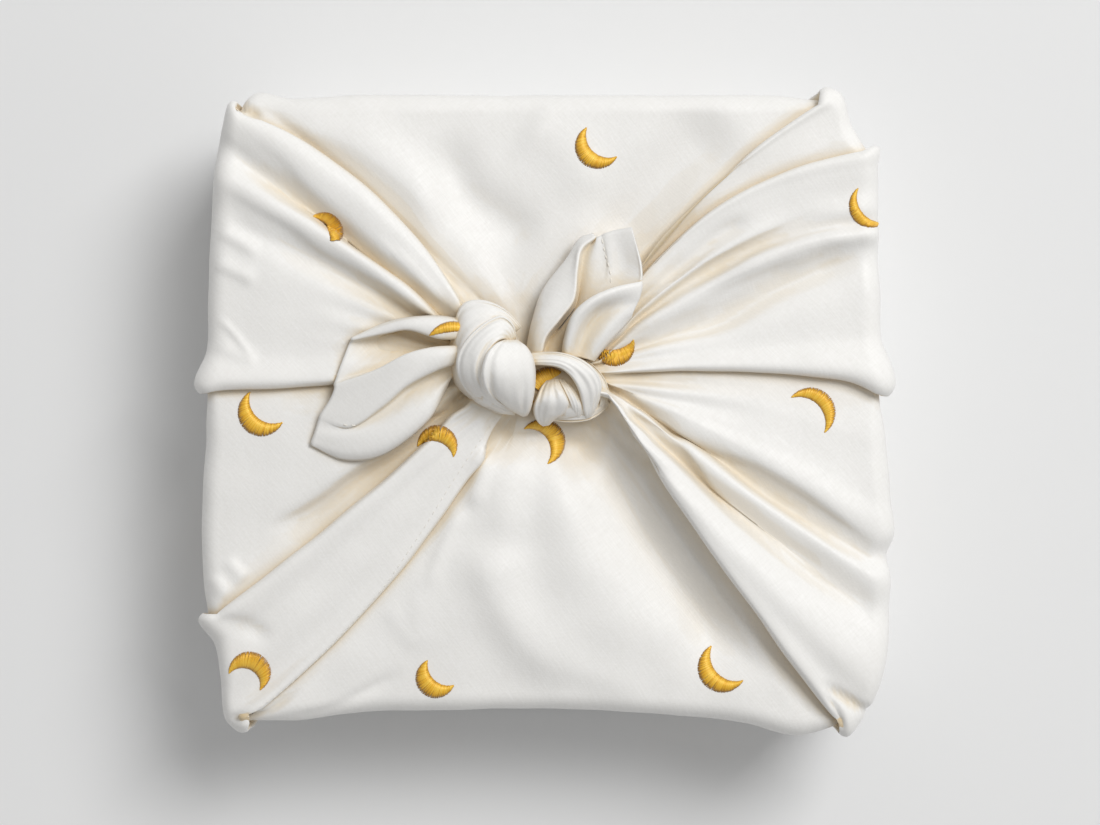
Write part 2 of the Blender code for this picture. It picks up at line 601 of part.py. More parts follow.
def start_scene():
    """Empties the scene and returns the collections for the part and for its cutters."""
    for thing in list(bpy.data.objects):
        bpy.data.objects.remove(thing, do_unlink=True)
    part = bpy.data.collections.new("knotted_gift_wrap")
    tools = bpy.data.collections.new("joining_pieces")
    bpy.context.scene.collection.children.link(part)
    bpy.context.scene.collection.children.link(tools)
    return part, tools


def main():
    part, tools = start_scene()
    wrap = parcel(part)
    knot_and_tails(tools)
    join_in_one(wrap, tools)
    wrap.data.materials.append(cotton_finish())
    wrap.data.shade_smooth()


main()
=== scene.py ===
"""Dresses the knotted wrapping cloth: sateen folds, knot, free ends, hems and moon embroidery."""
import logging
from collections import namedtuple
from dataclasses import dataclass, field
from enum import Enum
from math import cos, pi, radians, sin, tau
from random import Random

import bpy
import numpy as np
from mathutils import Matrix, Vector
from mathutils.bvhtree import BVHTree


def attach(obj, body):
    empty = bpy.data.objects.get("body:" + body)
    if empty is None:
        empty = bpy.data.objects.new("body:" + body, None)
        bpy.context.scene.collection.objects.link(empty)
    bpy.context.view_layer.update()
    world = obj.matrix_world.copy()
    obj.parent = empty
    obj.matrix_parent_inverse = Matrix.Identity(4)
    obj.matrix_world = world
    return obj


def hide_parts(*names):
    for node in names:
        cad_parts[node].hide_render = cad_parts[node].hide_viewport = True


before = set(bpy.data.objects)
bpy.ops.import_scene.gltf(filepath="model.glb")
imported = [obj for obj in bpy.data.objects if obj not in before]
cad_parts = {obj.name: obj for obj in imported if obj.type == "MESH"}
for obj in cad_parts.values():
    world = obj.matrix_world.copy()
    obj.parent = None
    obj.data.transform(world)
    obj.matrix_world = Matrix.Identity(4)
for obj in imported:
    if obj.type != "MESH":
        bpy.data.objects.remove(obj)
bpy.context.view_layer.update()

BODY = "root"
NODE = "wrap_cloth"
MM = 0.001
TINY = 1e-9

# A number or an array of numbers, and rows of coordinates in any of their forms.
Number = float | np.ndarray
Rows = list | tuple | np.ndarray

logging.basicConfig(level=logging.INFO, format="%(message)s")
log = logging.getLogger("wrapping")


# Small helpers.


def smooth_step(value: Number) -> Number:
    """Rises from 0 to 1 with level ends."""
    value = np.clip(value, 0.0, 1.0)
    return value * value * (3.0 - 2.0 * value)


def bell(distance: Number, width: Number) -> Number:
    """A smooth hump that is 1 at no distance and dies away past its width."""
    return np.exp(-((distance / width) ** 2))


def curve_through(points: Rows, count: int) -> np.ndarray:
    """Points evenly spread in number along a smooth open curve.

    Args:
        points: Rows of coordinates that the curve passes through.
        count: How many points to return.

    Returns:
        An array with one row for each point of the curve.
    """
    points = np.array(points, dtype=float)
    padded = np.vstack([2 * points[0] - points[1], points, 2 * points[-1] - points[-2]])
    position = np.linspace(0, len(points) - 1, count)
    index = np.minimum(position.astype(int), len(points) - 2)
    part = (position - index)[:, None]
    first, start, end, last = (padded[index + step] for step in range(4))
    return 0.5 * (
        2 * start
        + (end - first) * part
        + (2 * first - 5 * start + 4 * end - last) * part**2
        + (3 * start - first - 3 * end + last) * part**3
    )


@dataclass(frozen=True)
class Plan:
    """The photograph's scale: its middle pixel and the size of a pixel at the box's top."""

    middle_px: float = 545.0
    middle_py: float = 412.0
    mm_per_px: float = 0.33

    def place(self, px: float, py: float) -> tuple[float, float]:
        """The plan position of a pixel, in millimetres."""
        return (px - self.middle_px) * self.mm_per_px, (self.middle_py - py) * self.mm_per_px


PLAN = Plan()


def mesh_piece(name: str, vertices: Rows, faces: list) -> bpy.types.Object:
    """A mesh object at the origin from points in millimetres.

    Args:
        name: The piece's name.
        vertices: Points in millimetres.
        faces: Tuples of point numbers.

    Returns:
        The new object, linked to the scene.
    """
    mesh = bpy.data.meshes.new(name)
    mesh.from_pydata((np.asarray(vertices, dtype=float) * MM).tolist(), [], faces)
    mesh.validate()
    piece = bpy.data.objects.new(name, mesh)
    bpy.context.scene.collection.objects.link(piece)
    return piece


def grid_faces(rows: int, across: int, closed: bool, first: int = 0) -> list:
    """Quads between rows of points.

    Args:
        rows: How many rows there are.
        across: How many points a row has.
        closed: Whether each row is a ring.
        first: The number of the first point.

    Returns:
        The faces as tuples of point numbers.
    """
    faces = []
    for row in range(rows - 1):
        for place in range(across if closed else across - 1):
            beside = (place + 1) % across
            corner = first + row * across
            below = corner + across
            faces.append((corner + place, corner + beside, below + beside, below + place))
    return faces


def tube_faces(rings: int, sides: int, first: int) -> list:
    """The faces of a closed tube of rings with flat ends.

    Args:
        rings: How many rings of points it has.
        sides: How many points a ring has.
        first: The number of the first point.

    Returns:
        The faces as tuples of point numbers.
    """
    last = first + (rings - 1) * sides
    start = tuple(reversed(range(first, first + sides)))
    return [*grid_faces(rings, sides, True, first), start, tuple(range(last, last + sides))]


def unit(vector: np.ndarray) -> np.ndarray:
    """The vector, or each vector of an array, at a length of one."""
    return vector / np.maximum(np.linalg.norm(vector, axis=-1, keepdims=True), TINY)


def select_only(pieces: list) -> None:
    """Selects the given objects alone and makes the first one active.

    Args:
        pieces: The objects to select.
    """
    bpy.ops.object.select_all(action="DESELECT")
    for piece in pieces:
        piece.select_set(True)
    bpy.context.view_layer.objects.active = pieces[0]


def turn_outwards(piece: bpy.types.Object) -> None:
    """Makes the faces of a closed mesh look out of it.

    Args:
        piece: The mesh object.
    """
    select_only([piece])
    bpy.ops.object.mode_set(mode="EDIT")
    bpy.ops.mesh.select_all(action="SELECT")
    bpy.ops.mesh.normals_make_consistent(inside=False)
    bpy.ops.object.mode_set(mode="OBJECT")


# Shader maths as plain expressions.


class Signal:
    """A shader socket that takes part in arithmetic."""

    def __init__(self, shader: "Shader", socket: bpy.types.NodeSocket) -> None:
        """Wraps a socket of a shader's tree."""
        self.shader = shader
        self.socket = socket

    def _maths(self, operation: str, *values: "Signal | float") -> "Signal":
        """A Math node with these values."""
        inputs = dict(enumerate(values))
        return self.shader.node("ShaderNodeMath", {"operation": operation}, inputs).out()

    def __add__(self, other: "Signal | float") -> "Signal":
        """The sum."""
        return self._maths("ADD", self, other)

    def __radd__(self, other: "Signal | float") -> "Signal":
        """The sum, reflected."""
        return self._maths("ADD", other, self)

    def __sub__(self, other: "Signal | float") -> "Signal":
        """The difference."""
        return self._maths("SUBTRACT", self, other)

    def __rsub__(self, other: "Signal | float") -> "Signal":
        """The difference, reflected."""
        return self._maths("SUBTRACT", other, self)

    def __mul__(self, other: "Signal | float") -> "Signal":
        """The product."""
        return self._maths("MULTIPLY", self, other)

    def __rmul__(self, other: "Signal | float") -> "Signal":
        """The product, reflected."""
        return self._maths("MULTIPLY", other, self)

    def sine(self) -> "Signal":
        """The sine."""
        return self._maths("SINE", self)

    def clamped(self) -> "Signal":
        """The value held between 0 and 1."""
        return self._maths("MINIMUM", self._maths("MAXIMUM", self, 0.0), 1.0)


class Made:
    """A node that has just been added."""

    def __init__(self, shader: "Shader", node: bpy.types.Node) -> None:
        """Wraps a node of a shader's tree."""
        self.shader = shader
        self.node = node

    def out(self, name: str | int = 0) -> Signal:
        """One of the node's outputs."""
        return Signal(self.shader, self.node.outputs[name])


class Shader:
    """A material whose nodes are added one call at a time."""

    def __init__(self, name: str) -> None:
        """Starts a material with its principled shader.

        Args:
            name: The material's name.
        """
        self.material = bpy.data.materials.new(name)
        self.material.use_nodes = True
        self.tree = self.material.node_tree
        self.principled = self.tree.nodes["Principled BSDF"]

    def node(self, kind: str, settings: dict | None = None, inputs: dict | None = None) -> Made:
        """Adds a node.

        Args:
            kind: The node's type.
            settings: Values of the node's own options.
            inputs: Signals or constants by socket name or number.

        Returns:
            The node, ready for its outputs to be read.
        """
        made = self.tree.nodes.new(kind)
        for option, value in (settings or {}).items():
            setattr(made, option, value)
        self.feed(made, inputs or {})
        return Made(self, made)

    def feed(self, node: bpy.types.Node, inputs: dict) -> None:
        """Sets a node's inputs to signals or constants.

        Args:
            node: The node.
            inputs: Signals or constants by socket name or number.
        """
        for socket, value in inputs.items():
            if isinstance(value, Signal):
                self.tree.links.new(value.socket, node.inputs[socket])
            else:
                node.inputs[socket].default_value = value

    def mix(self, share: Signal, low: Signal | tuple, high: Signal | tuple) -> Signal:
        """A colour between two others, by the numbers of a colour mix's own sockets."""
        inputs = {0: share, 6: low, 7: high}
        return self.node("ShaderNodeMix", {"data_type": "RGBA"}, inputs).out(2)

    def noise(self, place: Signal, scale: float, detail: float, roughness: float) -> Signal:
        """Cloudy noise from 0 to 1.

        Args:
            place: Where in space it is read.
            scale: How often it repeats in a unit of length.
            detail: How many finer layers it has.
            roughness: How strong the finer layers are.

        Returns:
            The noise.
        """
        inputs = {"Vector": place, "Scale": scale, "Detail": detail, "Roughness": roughness}
        return self.node("ShaderNodeTexNoise", None, inputs).out("Fac")

    def attribute(self, name: str) -> Signal:
        """A number kept on the mesh's points."""
        return self.node("ShaderNodeAttribute", {"attribute_name": name}).out("Fac")

    def set(self, values: dict) -> None:
        """Sets the principled shader's sockets to signals or constants."""
        self.feed(self.principled, values)

    def bump(self, height: Signal, strength: float, distance_mm: float) -> Signal:
        """A surface normal tilted by a height."""
        inputs = {"Height": height, "Strength": strength, "Distance": distance_mm * MM}
        return self.node("ShaderNodeBump", None, inputs).out("Normal")


@dataclass(frozen=True)
class Sateen:
    """Ivory cotton sateen: a fine weave laid cornerwise to the box, slubs, a soft sheen, and
    painted shade, creamy and darker, where its own folds shut it in.
    """

    thread_mm: float = 0.5
    slub_mm: float = 0.6
    slub_length_mm: float = 5.0
    lit: tuple = (0.885, 0.88, 0.866, 1.0)
    shade: tuple = (0.86, 0.852, 0.835, 1.0)
    thread_shade: tuple = (0.7, 0.685, 0.65, 1.0)
    # Painted shade: creamy, darker colours for where the cloth's own folds shut it in and shade
    # it.
    hollow: tuple = (0.77, 0.69, 0.56, 1.0)
    hollow_from: float = 0.36
    hollow_gain: float = 3.0
    deep_shade: tuple = (0.70, 0.54, 0.31, 1.0)
    deep_shade_from: float = 0.95
    deep_shade_gain: float = 2.2
    cloud_scale: float = 26.0
    roughness: float = 0.5
    roughness_spread: float = 0.16
    sheen: float = 0.35
    sheen_roughness: float = 0.45
    specular: float = 0.4
    weave_lean_deg: float = 35.3
    weave_turn_deg: float = 45.0
    weave_depth_mm: float = 0.06
    weave_strength: float = 0.55
    weave_height: float = 0.22
    weave_contrast: float = 0.1
    slub_height: float = 1.3
    slub_contrast: float = 1.2
    thread_share: float = 0.34

    def material(self) -> bpy.types.Material:
        """Builds the cloth's material.

        Returns:
            The material, which paints shade from the mesh's attribute of how shut in each point
            is.
        """
        shader = Shader("ivory_sateen")
        place = shader.node("ShaderNodeTexCoord").out("Object")
        turned = shader.node(
            "ShaderNodeVectorRotate",
            {"rotation_type": "EULER_XYZ"},
            {
                "Vector": place,
                "Rotation": (radians(self.weave_lean_deg), 0.0, radians(self.weave_turn_deg)),
            },
        ).out()
        axes = shader.node("ShaderNodeSeparateXYZ", None, {"Vector": turned})
        along, across = axes.out("X"), axes.out("Y")
        turn = tau / (self.thread_mm * MM)
        warp = (along * turn).sine()
        weft = (across * turn).sine()
        weave = warp * weft
        slubs = self._slubs(shader, turned, (self.slub_length_mm, self.slub_mm))
        cross_slubs = self._slubs(shader, turned, (self.slub_mm, self.slub_length_mm))
        cloudy = shader.noise(place, self.cloud_scale, 3.0, 0.6)
        # Painted shade: the more other cloth shuts a point in, the darker and creamier it is
        # painted.
        hollow = shader.attribute("hollow")
        body = shader.mix(cloudy, self.shade, self.lit)
        share = (hollow * self.hollow_gain - self.hollow_from).clamped()
        shaded = shader.mix(share, body, self.hollow)
        share = (hollow * self.deep_shade_gain - self.deep_shade_from).clamped()
        shaded = shader.mix(share, shaded, self.deep_shade)
        contrast = self.slub_contrast
        uneven = contrast * (slubs - 0.5) + contrast * (cross_slubs - 0.5)
        threads = (0.5 + self.weave_contrast * weave + uneven).clamped()
        colour = shader.mix(self.thread_share * threads, shaded, self.thread_shade)
        height = weave * self.weave_height + slubs * self.slub_height
        height = height + cross_slubs * self.slub_height
        shader.set(
            {
                "Base Color": colour,
                "Roughness": self.roughness + self.roughness_spread * (threads - 0.5),
                "Normal": shader.bump(height, self.weave_strength, self.weave_depth_mm),
                "Sheen Weight": self.sheen,
                "Sheen Roughness": self.sheen_roughness,
                "Specular IOR Level": self.specular,
            }
        )
        return shader.material

    def _slubs(self, shader: Shader, place: Signal, size_mm: tuple) -> Signal:
        """Uneven threads, drawn out along one direction of the weave.

        Args:
            shader: The cloth's shader.
            place: Where it is read, turned to lie along the weave.
            size_mm: The size of a slub along the weave's two directions.

        Returns:
            Noise that is high where a thread is thick.
        """
        stretch = tuple(1.0 / (MM * size) for size in (*size_mm, size_mm[0]))
        fitted = shader.node(
            "ShaderNodeVectorMath", {"operation": "MULTIPLY"}, {0: place, 1: stretch}
        ).out()
        return shader.noise(fitted, 1.0, 2.0, 0.55)


@dataclass(frozen=True)
class GoldThread:
    """Glossy golden embroidery thread with painted shade: darker where a stitch dips into the
    cloth, towards a moon's outer side and on each thread's underside, lighter on its upper side.
    """

    deep_shade: tuple = (0.34, 0.14, 0.004, 1.0)
    body: tuple = (0.83, 0.46, 0.02, 1.0)
    bright: tuple = (1.0, 0.72, 0.12, 1.0)
    roughness: float = 0.28
    sheen: float = 0.25
    specular: float = 0.6
    metallic: float = 0.12
    fibre_scale: float = 2600.0
    fibre_gloss: float = 0.2
    fibre_strength: float = 0.4
    fibre_depth_mm: float = 0.06

    def material(self) -> bpy.types.Material:
        """Builds the thread's material.

        Returns:
            The material, which reads the mesh's attribute tone, holding each thread's random tone
            together with its painted shade.
        """
        shader = Shader("golden_thread")
        place = shader.node("ShaderNodeTexCoord").out("Object")
        tone = shader.attribute("tone")
        fibres = shader.noise(place, self.fibre_scale, 2.0, 0.6)
        low = shader.mix((tone * 2.0).clamped(), self.deep_shade, self.body)
        colour = shader.mix((tone * 2.0 - 1.0).clamped(), low, self.bright)
        shader.set(
            {
                "Base Color": colour,
                "Roughness": self.roughness + self.fibre_gloss * fibres,
                "Normal": shader.bump(fibres, self.fibre_strength, self.fibre_depth_mm),
                "Sheen Weight": self.sheen,
                "Specular IOR Level": self.specular,
                "Metallic": self.metallic,
            }
        )
        return shader.material


@dataclass(frozen=True)
class HemThread:
    """Ivory sewing thread, a little glossier than the cloth."""

    colour: tuple = (0.86, 0.83, 0.77, 1.0)
    dark: tuple = (0.74, 0.70, 0.62, 1.0)
    roughness: float = 0.42
    fibre_scale: float = 2200.0
    fibre_shade: float = 0.4
    fibre_gloss: float = 0.15
    fibre_strength: float = 0.35
    fibre_depth_mm: float = 0.05

    def material(self) -> bpy.types.Material:
        """Builds the thread's material.

        Returns:
            The material.
        """
        shader = Shader("ivory_thread")
        place = shader.node("ShaderNodeTexCoord").out("Object")
        fibres = shader.noise(place, self.fibre_scale, 2.0, 0.5)
        shader.set(
            {
                "Base Color": shader.mix(fibres * self.fibre_shade, self.colour, self.dark),
                "Roughness": self.roughness + self.fibre_gloss * fibres,
                "Normal": shader.bump(fibres, self.fibre_strength, self.fibre_depth_mm),
            }
        )
        return shader.material


# The wrapped box.


class Side(Enum):
    """Which way the free side of a folded edge looks, seen from the knot."""

    CLOCKWISE = 1
    COUNTER = -1


class Face(Enum):
    """A side of the parcel: its axis across, its axis up and the way it looks."""

    TOP = ((1, 0, 0), (0, 1, 0), (0, 0, 1))
    NEAR = ((1, 0, 0), (0, 0, 1), (0, -1, 0))
    FAR = ((-1, 0, 0), (0, 0, 1), (0, 1, 0))
    LEFT = ((0, -1, 0), (0, 0, 1), (-1, 0, 0))
    RIGHT = ((0, 1, 0), (0, 0, 1), (1, 0, 0))


# A fold line: where it leaves the knot, where it crosses the rim, how far it bows
# clockwise, and its height near the knot, half way and near the rim, in millimetres.
Fold = namedtuple("Fold", "name leave_x leave_y rim_x rim_y bow near mid far edge")

# The share of a fold's way from the knot where its columns start to move apart.
PLAIN_START = 0.04

# A folded edge: the side it looks to, the radius of its roll, how far the cloth below
# runs in under it, the share of its height by which that cloth lies lower, and the share
# of its way from the knot where the cloth starts to run in under it.
Edge = namedtuple("Edge", "faces roll tuck drop start", defaults=(PLAIN_START,))

EDGES = {
    "left top roll": Edge(Side.CLOCKWISE, 1.2, 1.5, 0.85),
    "right upper": Edge(Side.COUNTER, 0.7, 1.6, 0.85),
    "right second": Edge(Side.COUNTER, 0.9, 1.4, 0.62),
    "right level": Edge(Side.CLOCKWISE, 1.0, 2.4, 0.6),
    "right big roll": Edge(Side.CLOCKWISE, 1.2, 3.0, 0.92, -0.1),
    "left hem": Edge(Side.COUNTER, 0.6, 2.2, 0.8),
    "left band": Edge(Side.CLOCKWISE, 0.9, 2.2, 0.6),
    "left level": Edge(Side.COUNTER, 1.0, 2.4, 0.6),
}

FOLDS = (
    # The flap that comes over the far side.
    Fold("far flap 1", -18, 33, -96.5, 105.4, 2, 0.5, 0.3, -1.5, None),
    Fold("far flap 2", -15, 32, -84, 104, 2, 0.6, 1.4, -0.8, None),
    Fold("far flap 3", -11, 31, -62, 105, 1, 0.8, 1.5, 0.4, None),
    Fold("far flap 4", -7, 30, -36, 105, 0, 0.8, -0.3, 0.2, None),
    Fold("far flap 5", -3, 29, -8, 105, 0, 0.8, 0.2, -0.4, None),
    Fold("far flap 6", 1, 27, 24, 105, 0, 0.9, 0.9, 0.3, None),
    Fold("far flap 7", 5, 26, 52, 105, 0, 0.9, 0.1, 0.2, None),
    Fold("far flap 8", 8, 25, 75, 105, -1, 0.8, 0.8, -0.5, None),
    # The right end of the cloth, gathered into the knot.
    Fold("right upper edge", 14, 22, 91, 107.2, -7, 5.4, 4.8, 2.6, "right upper"),
    Fold("right corner panel 1", 15, 21.6, 97, 106, -8.6, 5.0, 4.2, 1.8, None),
    Fold("right corner panel 2", 15.4, 21, 102, 94, -11.4, 4.4, 2.7, 1.6, None),
    Fold("right second edge", 16, 20.4, 109.6, 88.4, -14, 6.2, 5.4, 4.2, "right second"),
    Fold("right rise 1", 16.5, 19.6, 110, 81, -14, 6.2, 5.0, 4.2, None),
    Fold("right groove 1", 17, 18.8, 110, 73, -10.5, 4.6, 4.2, 3.4, None),
    Fold("right rise 2", 17.3, 18, 110, 67, -10, 6.4, 5.4, 4.0, None),
    Fold("right groove 2", 17.6, 17.2, 110.2, 62.5, -9.2, 4.8, 3.2, 3.0, None),
    Fold("right rise 3", 17.8, 16.4, 110.4, 58.5, -7.6, 6.6, 5.6, 4.8, None),
    Fold("right groove 3", 18, 15.6, 110.2, 53.5, 0.5, 4.6, 2.2, 2.2, None),
    Fold("right panel 1", 18.1, 14.9, 110.8, 40, 0.5, 5.6, 3.9, 3.4, None),
    Fold("right panel 2", 18.2, 14.1, 111.2, 25, -1, 6.2, 4.6, 3.2, None),
    Fold("right level edge", 18.2, 12.4, 114.6, 9, -2.6, 7.0, 5.6, 5.0, "right level"),
    Fold("right panel 3", 18.8, 10.9, 112.8, -10, -2, 5.2, 3.2, 2.4, None),
    Fold("right panel 4", 19.4, 10.2, 114.2, -28, -2.5, 5.4, 3.8, 3.0, None),
    Fold("right rise 4", 19.8, 9.6, 115.2, -41, -3.5, 5.6, 4.0, 3.4, None),
    Fold("right groove 4", 20.1, 8.9, 113.0, -47.5, 1.2, 3.0, 0.8, 1.4, None),
    Fold("right rise 5", 20.4, 8.2, 114, -54, 1.6, 7.2, 5.0, 4.2, None),
    Fold("right groove 5", 20.7, 7.4, 113.8, -65, 3.6, 9.0, 1.4, 2.6, None),
    Fold("right roll shoulder", 20.9, 6.6, 113.4, -76, 3.8, 10.4, 9.0, 4.4, None),
    Fold("right roll crest", 20.8, 5.7, 110.4, -91, 3.0, 10.8, 11.8, 5.2, None),
    Fold("right corner dent", 20.4, 4.8, 105.6, -101, 2.2, 10.6, 12.0, 2.8, None),
    Fold("right roll edge", 19.8, 3.9, 97.4, -107.6, 1.8, 10.0, 11.4, 3.4, "right big roll"),
    # The flap that comes over the near side.
    Fold("near flap 1", 13, 1.6, 84, -107.2, 0, 0.5, 0.4, -0.4, None),
    Fold("near flap 2", 10, 1.0, 66, -103, 1, 0.7, 1.0, -0.2, None),
    Fold("near flap 3", 6, 0.5, 42, -100.6, 2, 1.4, 1.2, -1.4, None),
    Fold("near flap 4", 2, 0.2, 18, -98.8, 0, 1.8, 2.8, -1.2, None),
    Fold("near flap 5", -2, 0.2, -6, -98.6, 0, 1.8, 2.0, -2.0, None),
    Fold("near flap 6", -5, 0.4, -30, -98.8, 0, 1.6, 2.6, -1.2, None),
    Fold("near flap 7", -8, 0.9, -58, -99.6, -2, 1.2, 2.0, -1.8, None),
    Fold("near flap 8", -9.4, 1.6, -81, -102.2, -5, 0.6, 1.6, -0.4, None),
    # The left end of the cloth, gathered into the knot.
    Fold("left hem edge", -11, 2.6, -98.6, -106.2, -7, 4.6, 2.8, 1.8, "left hem"),
    Fold("left corner fold", -12.6, 3.4, -104.8, -103.6, -6, 4.9, 3.0, -0.8, None),
    Fold("left band 1", -15, 4.2, -107.4, -88, -5.2, 6.0, 4.6, 1.6, None),
    Fold("left band 2", -18.4, 5.2, -109.4, -77, -3.6, 6.6, 5.2, 1.6, None),
    Fold("left band edge", -22, 6.6, -114.2, -66.5, -1.8, 7.2, 6.2, 3.8, "left band"),
    Fold("left groove 1", -24.6, 8.0, -112.6, -58, -2.4, 2.4, 0.6, 2.2, None),
    Fold("left panel 1", -26, 9.4, -113.6, -44, -2, 6.0, 4.8, 1.0, None),
    Fold("left panel 2", -27, 11, -113.2, -24, -1.2, 6.2, 5.2, 1.0, None),
    Fold("left panel 3", -27.8, 12.8, -112.2, -6, -1.6, 5.8, 4.8, 1.0, None),
    Fold("left level edge", -28.4, 15.4, -115.2, 7.6, -2.6, 7.8, 6.3, 4.2, "left level"),
    Fold("left panel 4", -28.8, 17.6, -112.2, 20, -1, 6.8, 5.0, 2.2, None),
    Fold("left panel 5", -29.2, 19.6, -111.4, 38, 0, 6.2, 4.9, 2.0, None),
    Fold("left panel 6", -29.4, 21.4, -110.8, 55, 0.5, 6.0, 4.3, 2.2, None),
    Fold("left groove 2", -29.4, 23.2, -110, 67, 1, 4.0, 1.6, 2.2, None),
    Fold("left rise 1", -29, 25, -109.4, 76.6, 3.4, 7.6, 6.0, 4.6, None),
    Fold("left groove 3", -28.2, 27, -107.6, 89, -0.6, 3.8, 0.8, 1.8, None),
    Fold("left roll low side", -27.4, 28.6, -106.4, 94.6, 4.2, 6.4, 5.4, 3.6, None),
    Fold("left roll edge", -25, 31.4, -101.8, 103.2, 9.2, 7.6, 5.6, 3.6, "left top roll"),
)

# A crease pressed or raised in the cloth along a line of the photograph's pixels: how
# high its middle stands, and how wide it falls away left and right of the line, in mm.
Crease = namedtuple("Crease", "name height left right line")

LEFT_ROLL_LOW = (
    *((230, 124), (264, 142), (290, 161), (313, 186), (331, 203)),
    *((353, 223), (372, 242), (391, 264), (409, 286), (433, 310)),
)
LEFT_RISE_LOW = (
    *((216, 180), (254, 201), (297, 224), (326, 246)),
    *((361, 266), (393, 286), (425, 311), (440, 323)),
)
RIGHT_FOLD_2 = ((668, 416), (680, 436), (704, 468), (722, 494), (756, 527), (804, 565), (870, 598))
RIGHT_FOLD_3 = ((622, 389), (664, 419), (705, 443), (762, 464), (811, 493), (848, 520), (884, 550))

CREASES = (
    Crease("far flap ridge", 2.0, 9, 5, ((238, 104), (340, 138), (408, 184), (446, 236))),
    Crease("far flap trough middle", -2.4, 7, 8, ((438, 130), (463, 188), (502, 222), (545, 246))),
    Crease("far flap swell", 1.2, 9, 9, ((520, 120), (560, 150), (600, 200))),
    Crease("far flap dip", -3.0, 10, 11, ((604, 262), (640, 208), (682, 160), (728, 112))),
    Crease("left roll low edge", 1.2, 7, 2.2, LEFT_ROLL_LOW),
    Crease("left pleat 1", 0.9, 1.6, 1.0, ((372, 236), (398, 258), (420, 280), (440, 306))),
    Crease("left pleat 2", 0.8, 1.4, 1.0, ((392, 246), (414, 266), (432, 286), (447, 308))),
    Crease("left rise edge", 1.3, 6, 2.2, LEFT_RISE_LOW),
    Crease("left rise foot", 0.9, 4, 3, ((226, 203), (262, 224), (306, 247), (350, 273),
        (392, 302))),
    Crease("left rim pleat 1", 1.0, 3, 2, ((219, 231), (236, 240), (262, 256))),
    Crease("left rim pleat 2", 0.9, 3, 2, ((214, 262), (236, 272), (260, 284))),
    Crease("left rim line", 0.7, 1.2, 0.8, ((218, 317), (236, 336), (254, 359))),
    Crease("left rim pleat 3", 0.8, 3, 2, ((216, 346), (238, 355), (262, 362))),
    Crease("left corner mouth", -1.8, 1.3, 1.3, ((234, 106), (242, 108), (252, 113), (262, 120))),
    Crease("left trough foot", -1.3, 5, 2.5, ((425, 447), (365, 475), (330, 500), (300, 517),
        (262, 532))),
    Crease("left rim fold 1", 1.0, 1.6, 2.5, ((226, 556), (240, 572), (247, 580))),
    Crease("left rim fold 2", 0.9, 1.6, 2.5, ((212, 572), (224, 588), (231, 596))),
    Crease("left loop trough", -1.2, 2.5, 3.5, ((205, 622), (228, 621), (252, 627), (276, 642))),
    Crease("near corner pocket", -1.5, 1.2, 1.2, ((229, 722), (240, 717), (268, 712), (302, 684))),
    Crease("near flap ridge", 2.4, 7, 22, ((572, 450), (596, 505), (628, 565), (664, 622),
        (704, 676))),
    Crease("near flap low ridge", 0.7, 6, 5, ((552, 655), (606, 682), (660, 700))),
    Crease("near flap dip", -6.4, 9, 13, ((540, 352), (594, 436), (630, 508), (670, 570),
        (716, 630), (764, 686))),
    Crease("near flap low fold", 3.0, 12, 8, ((478, 530), (498, 592), (526, 638), (584, 680))),
    Crease("near flap ridge middle", 0.8, 7, 6, ((505, 440), (500, 490), (512, 550))),
    Crease("near flap swell", 0.6, 7, 4, ((430, 560), (418, 610), (430, 660))),
    Crease("near hem crease", -0.9, 2, 2, ((272, 720), (325, 712), (365, 692), (407, 670))),
    Crease("near flap dip by the knot", -3.8, 4, 10, ((480, 430), (540, 436), (612, 444))),
    Crease("near flap pull", 1.6, 3, 3.5, ((486, 444), (481, 478), (470, 510))),
    Crease("near flap pull 2", 0.9, 2.5, 2.5, ((466, 500), (444, 546), (426, 592))),
    Crease("near hem ridge", 0.4, 3, 2.5, ((384, 600), (402, 630), (418, 650))),
    Crease("right fold 2 edge", 1.7, 6, 1.6, RIGHT_FOLD_2),
    Crease("right fold 3 edge", 1.7, 7, 1.5, RIGHT_FOLD_3),
    Crease("right fold 3 line", -0.6, 1.1, 1.1, ((717, 458), (760, 490), (808, 524), (855, 560))),
    Crease("right corner pleat", -2.0, 1.5, 1.2, ((818, 682), (839, 694), (859, 707), (879, 716))),
    Crease("right corner pleat 2", -1.6, 1.3, 1.3, ((824, 690), (836, 712), (845, 737))),
    Crease("right upper line", -1.3, 2.5, 2, ((654, 285), (687, 263), (721, 235), (752, 220))),
    Crease("right upper trough", -1.6, 3, 3, ((671, 294), (721, 266), (765, 240), (795, 224),
        (840, 212))),
    Crease("right upper edge fold", 1.5, 4, 2, ((687, 296), (773, 257), (817, 242), (862, 235))),
    Crease("right middle groove", -1.1, 1.8, 1.8, ((693, 309), (730, 288), (765, 276),
        (800, 264))),
    Crease("right middle trough", -2.2, 5, 5, ((654, 350), (721, 320), (773, 287), (817, 268),
        (866, 248))),
)

# A crease on a side of the parcel: its line runs in millimetres along the side and up.
SideCrease = namedtuple("SideCrease", "name face height left right line")

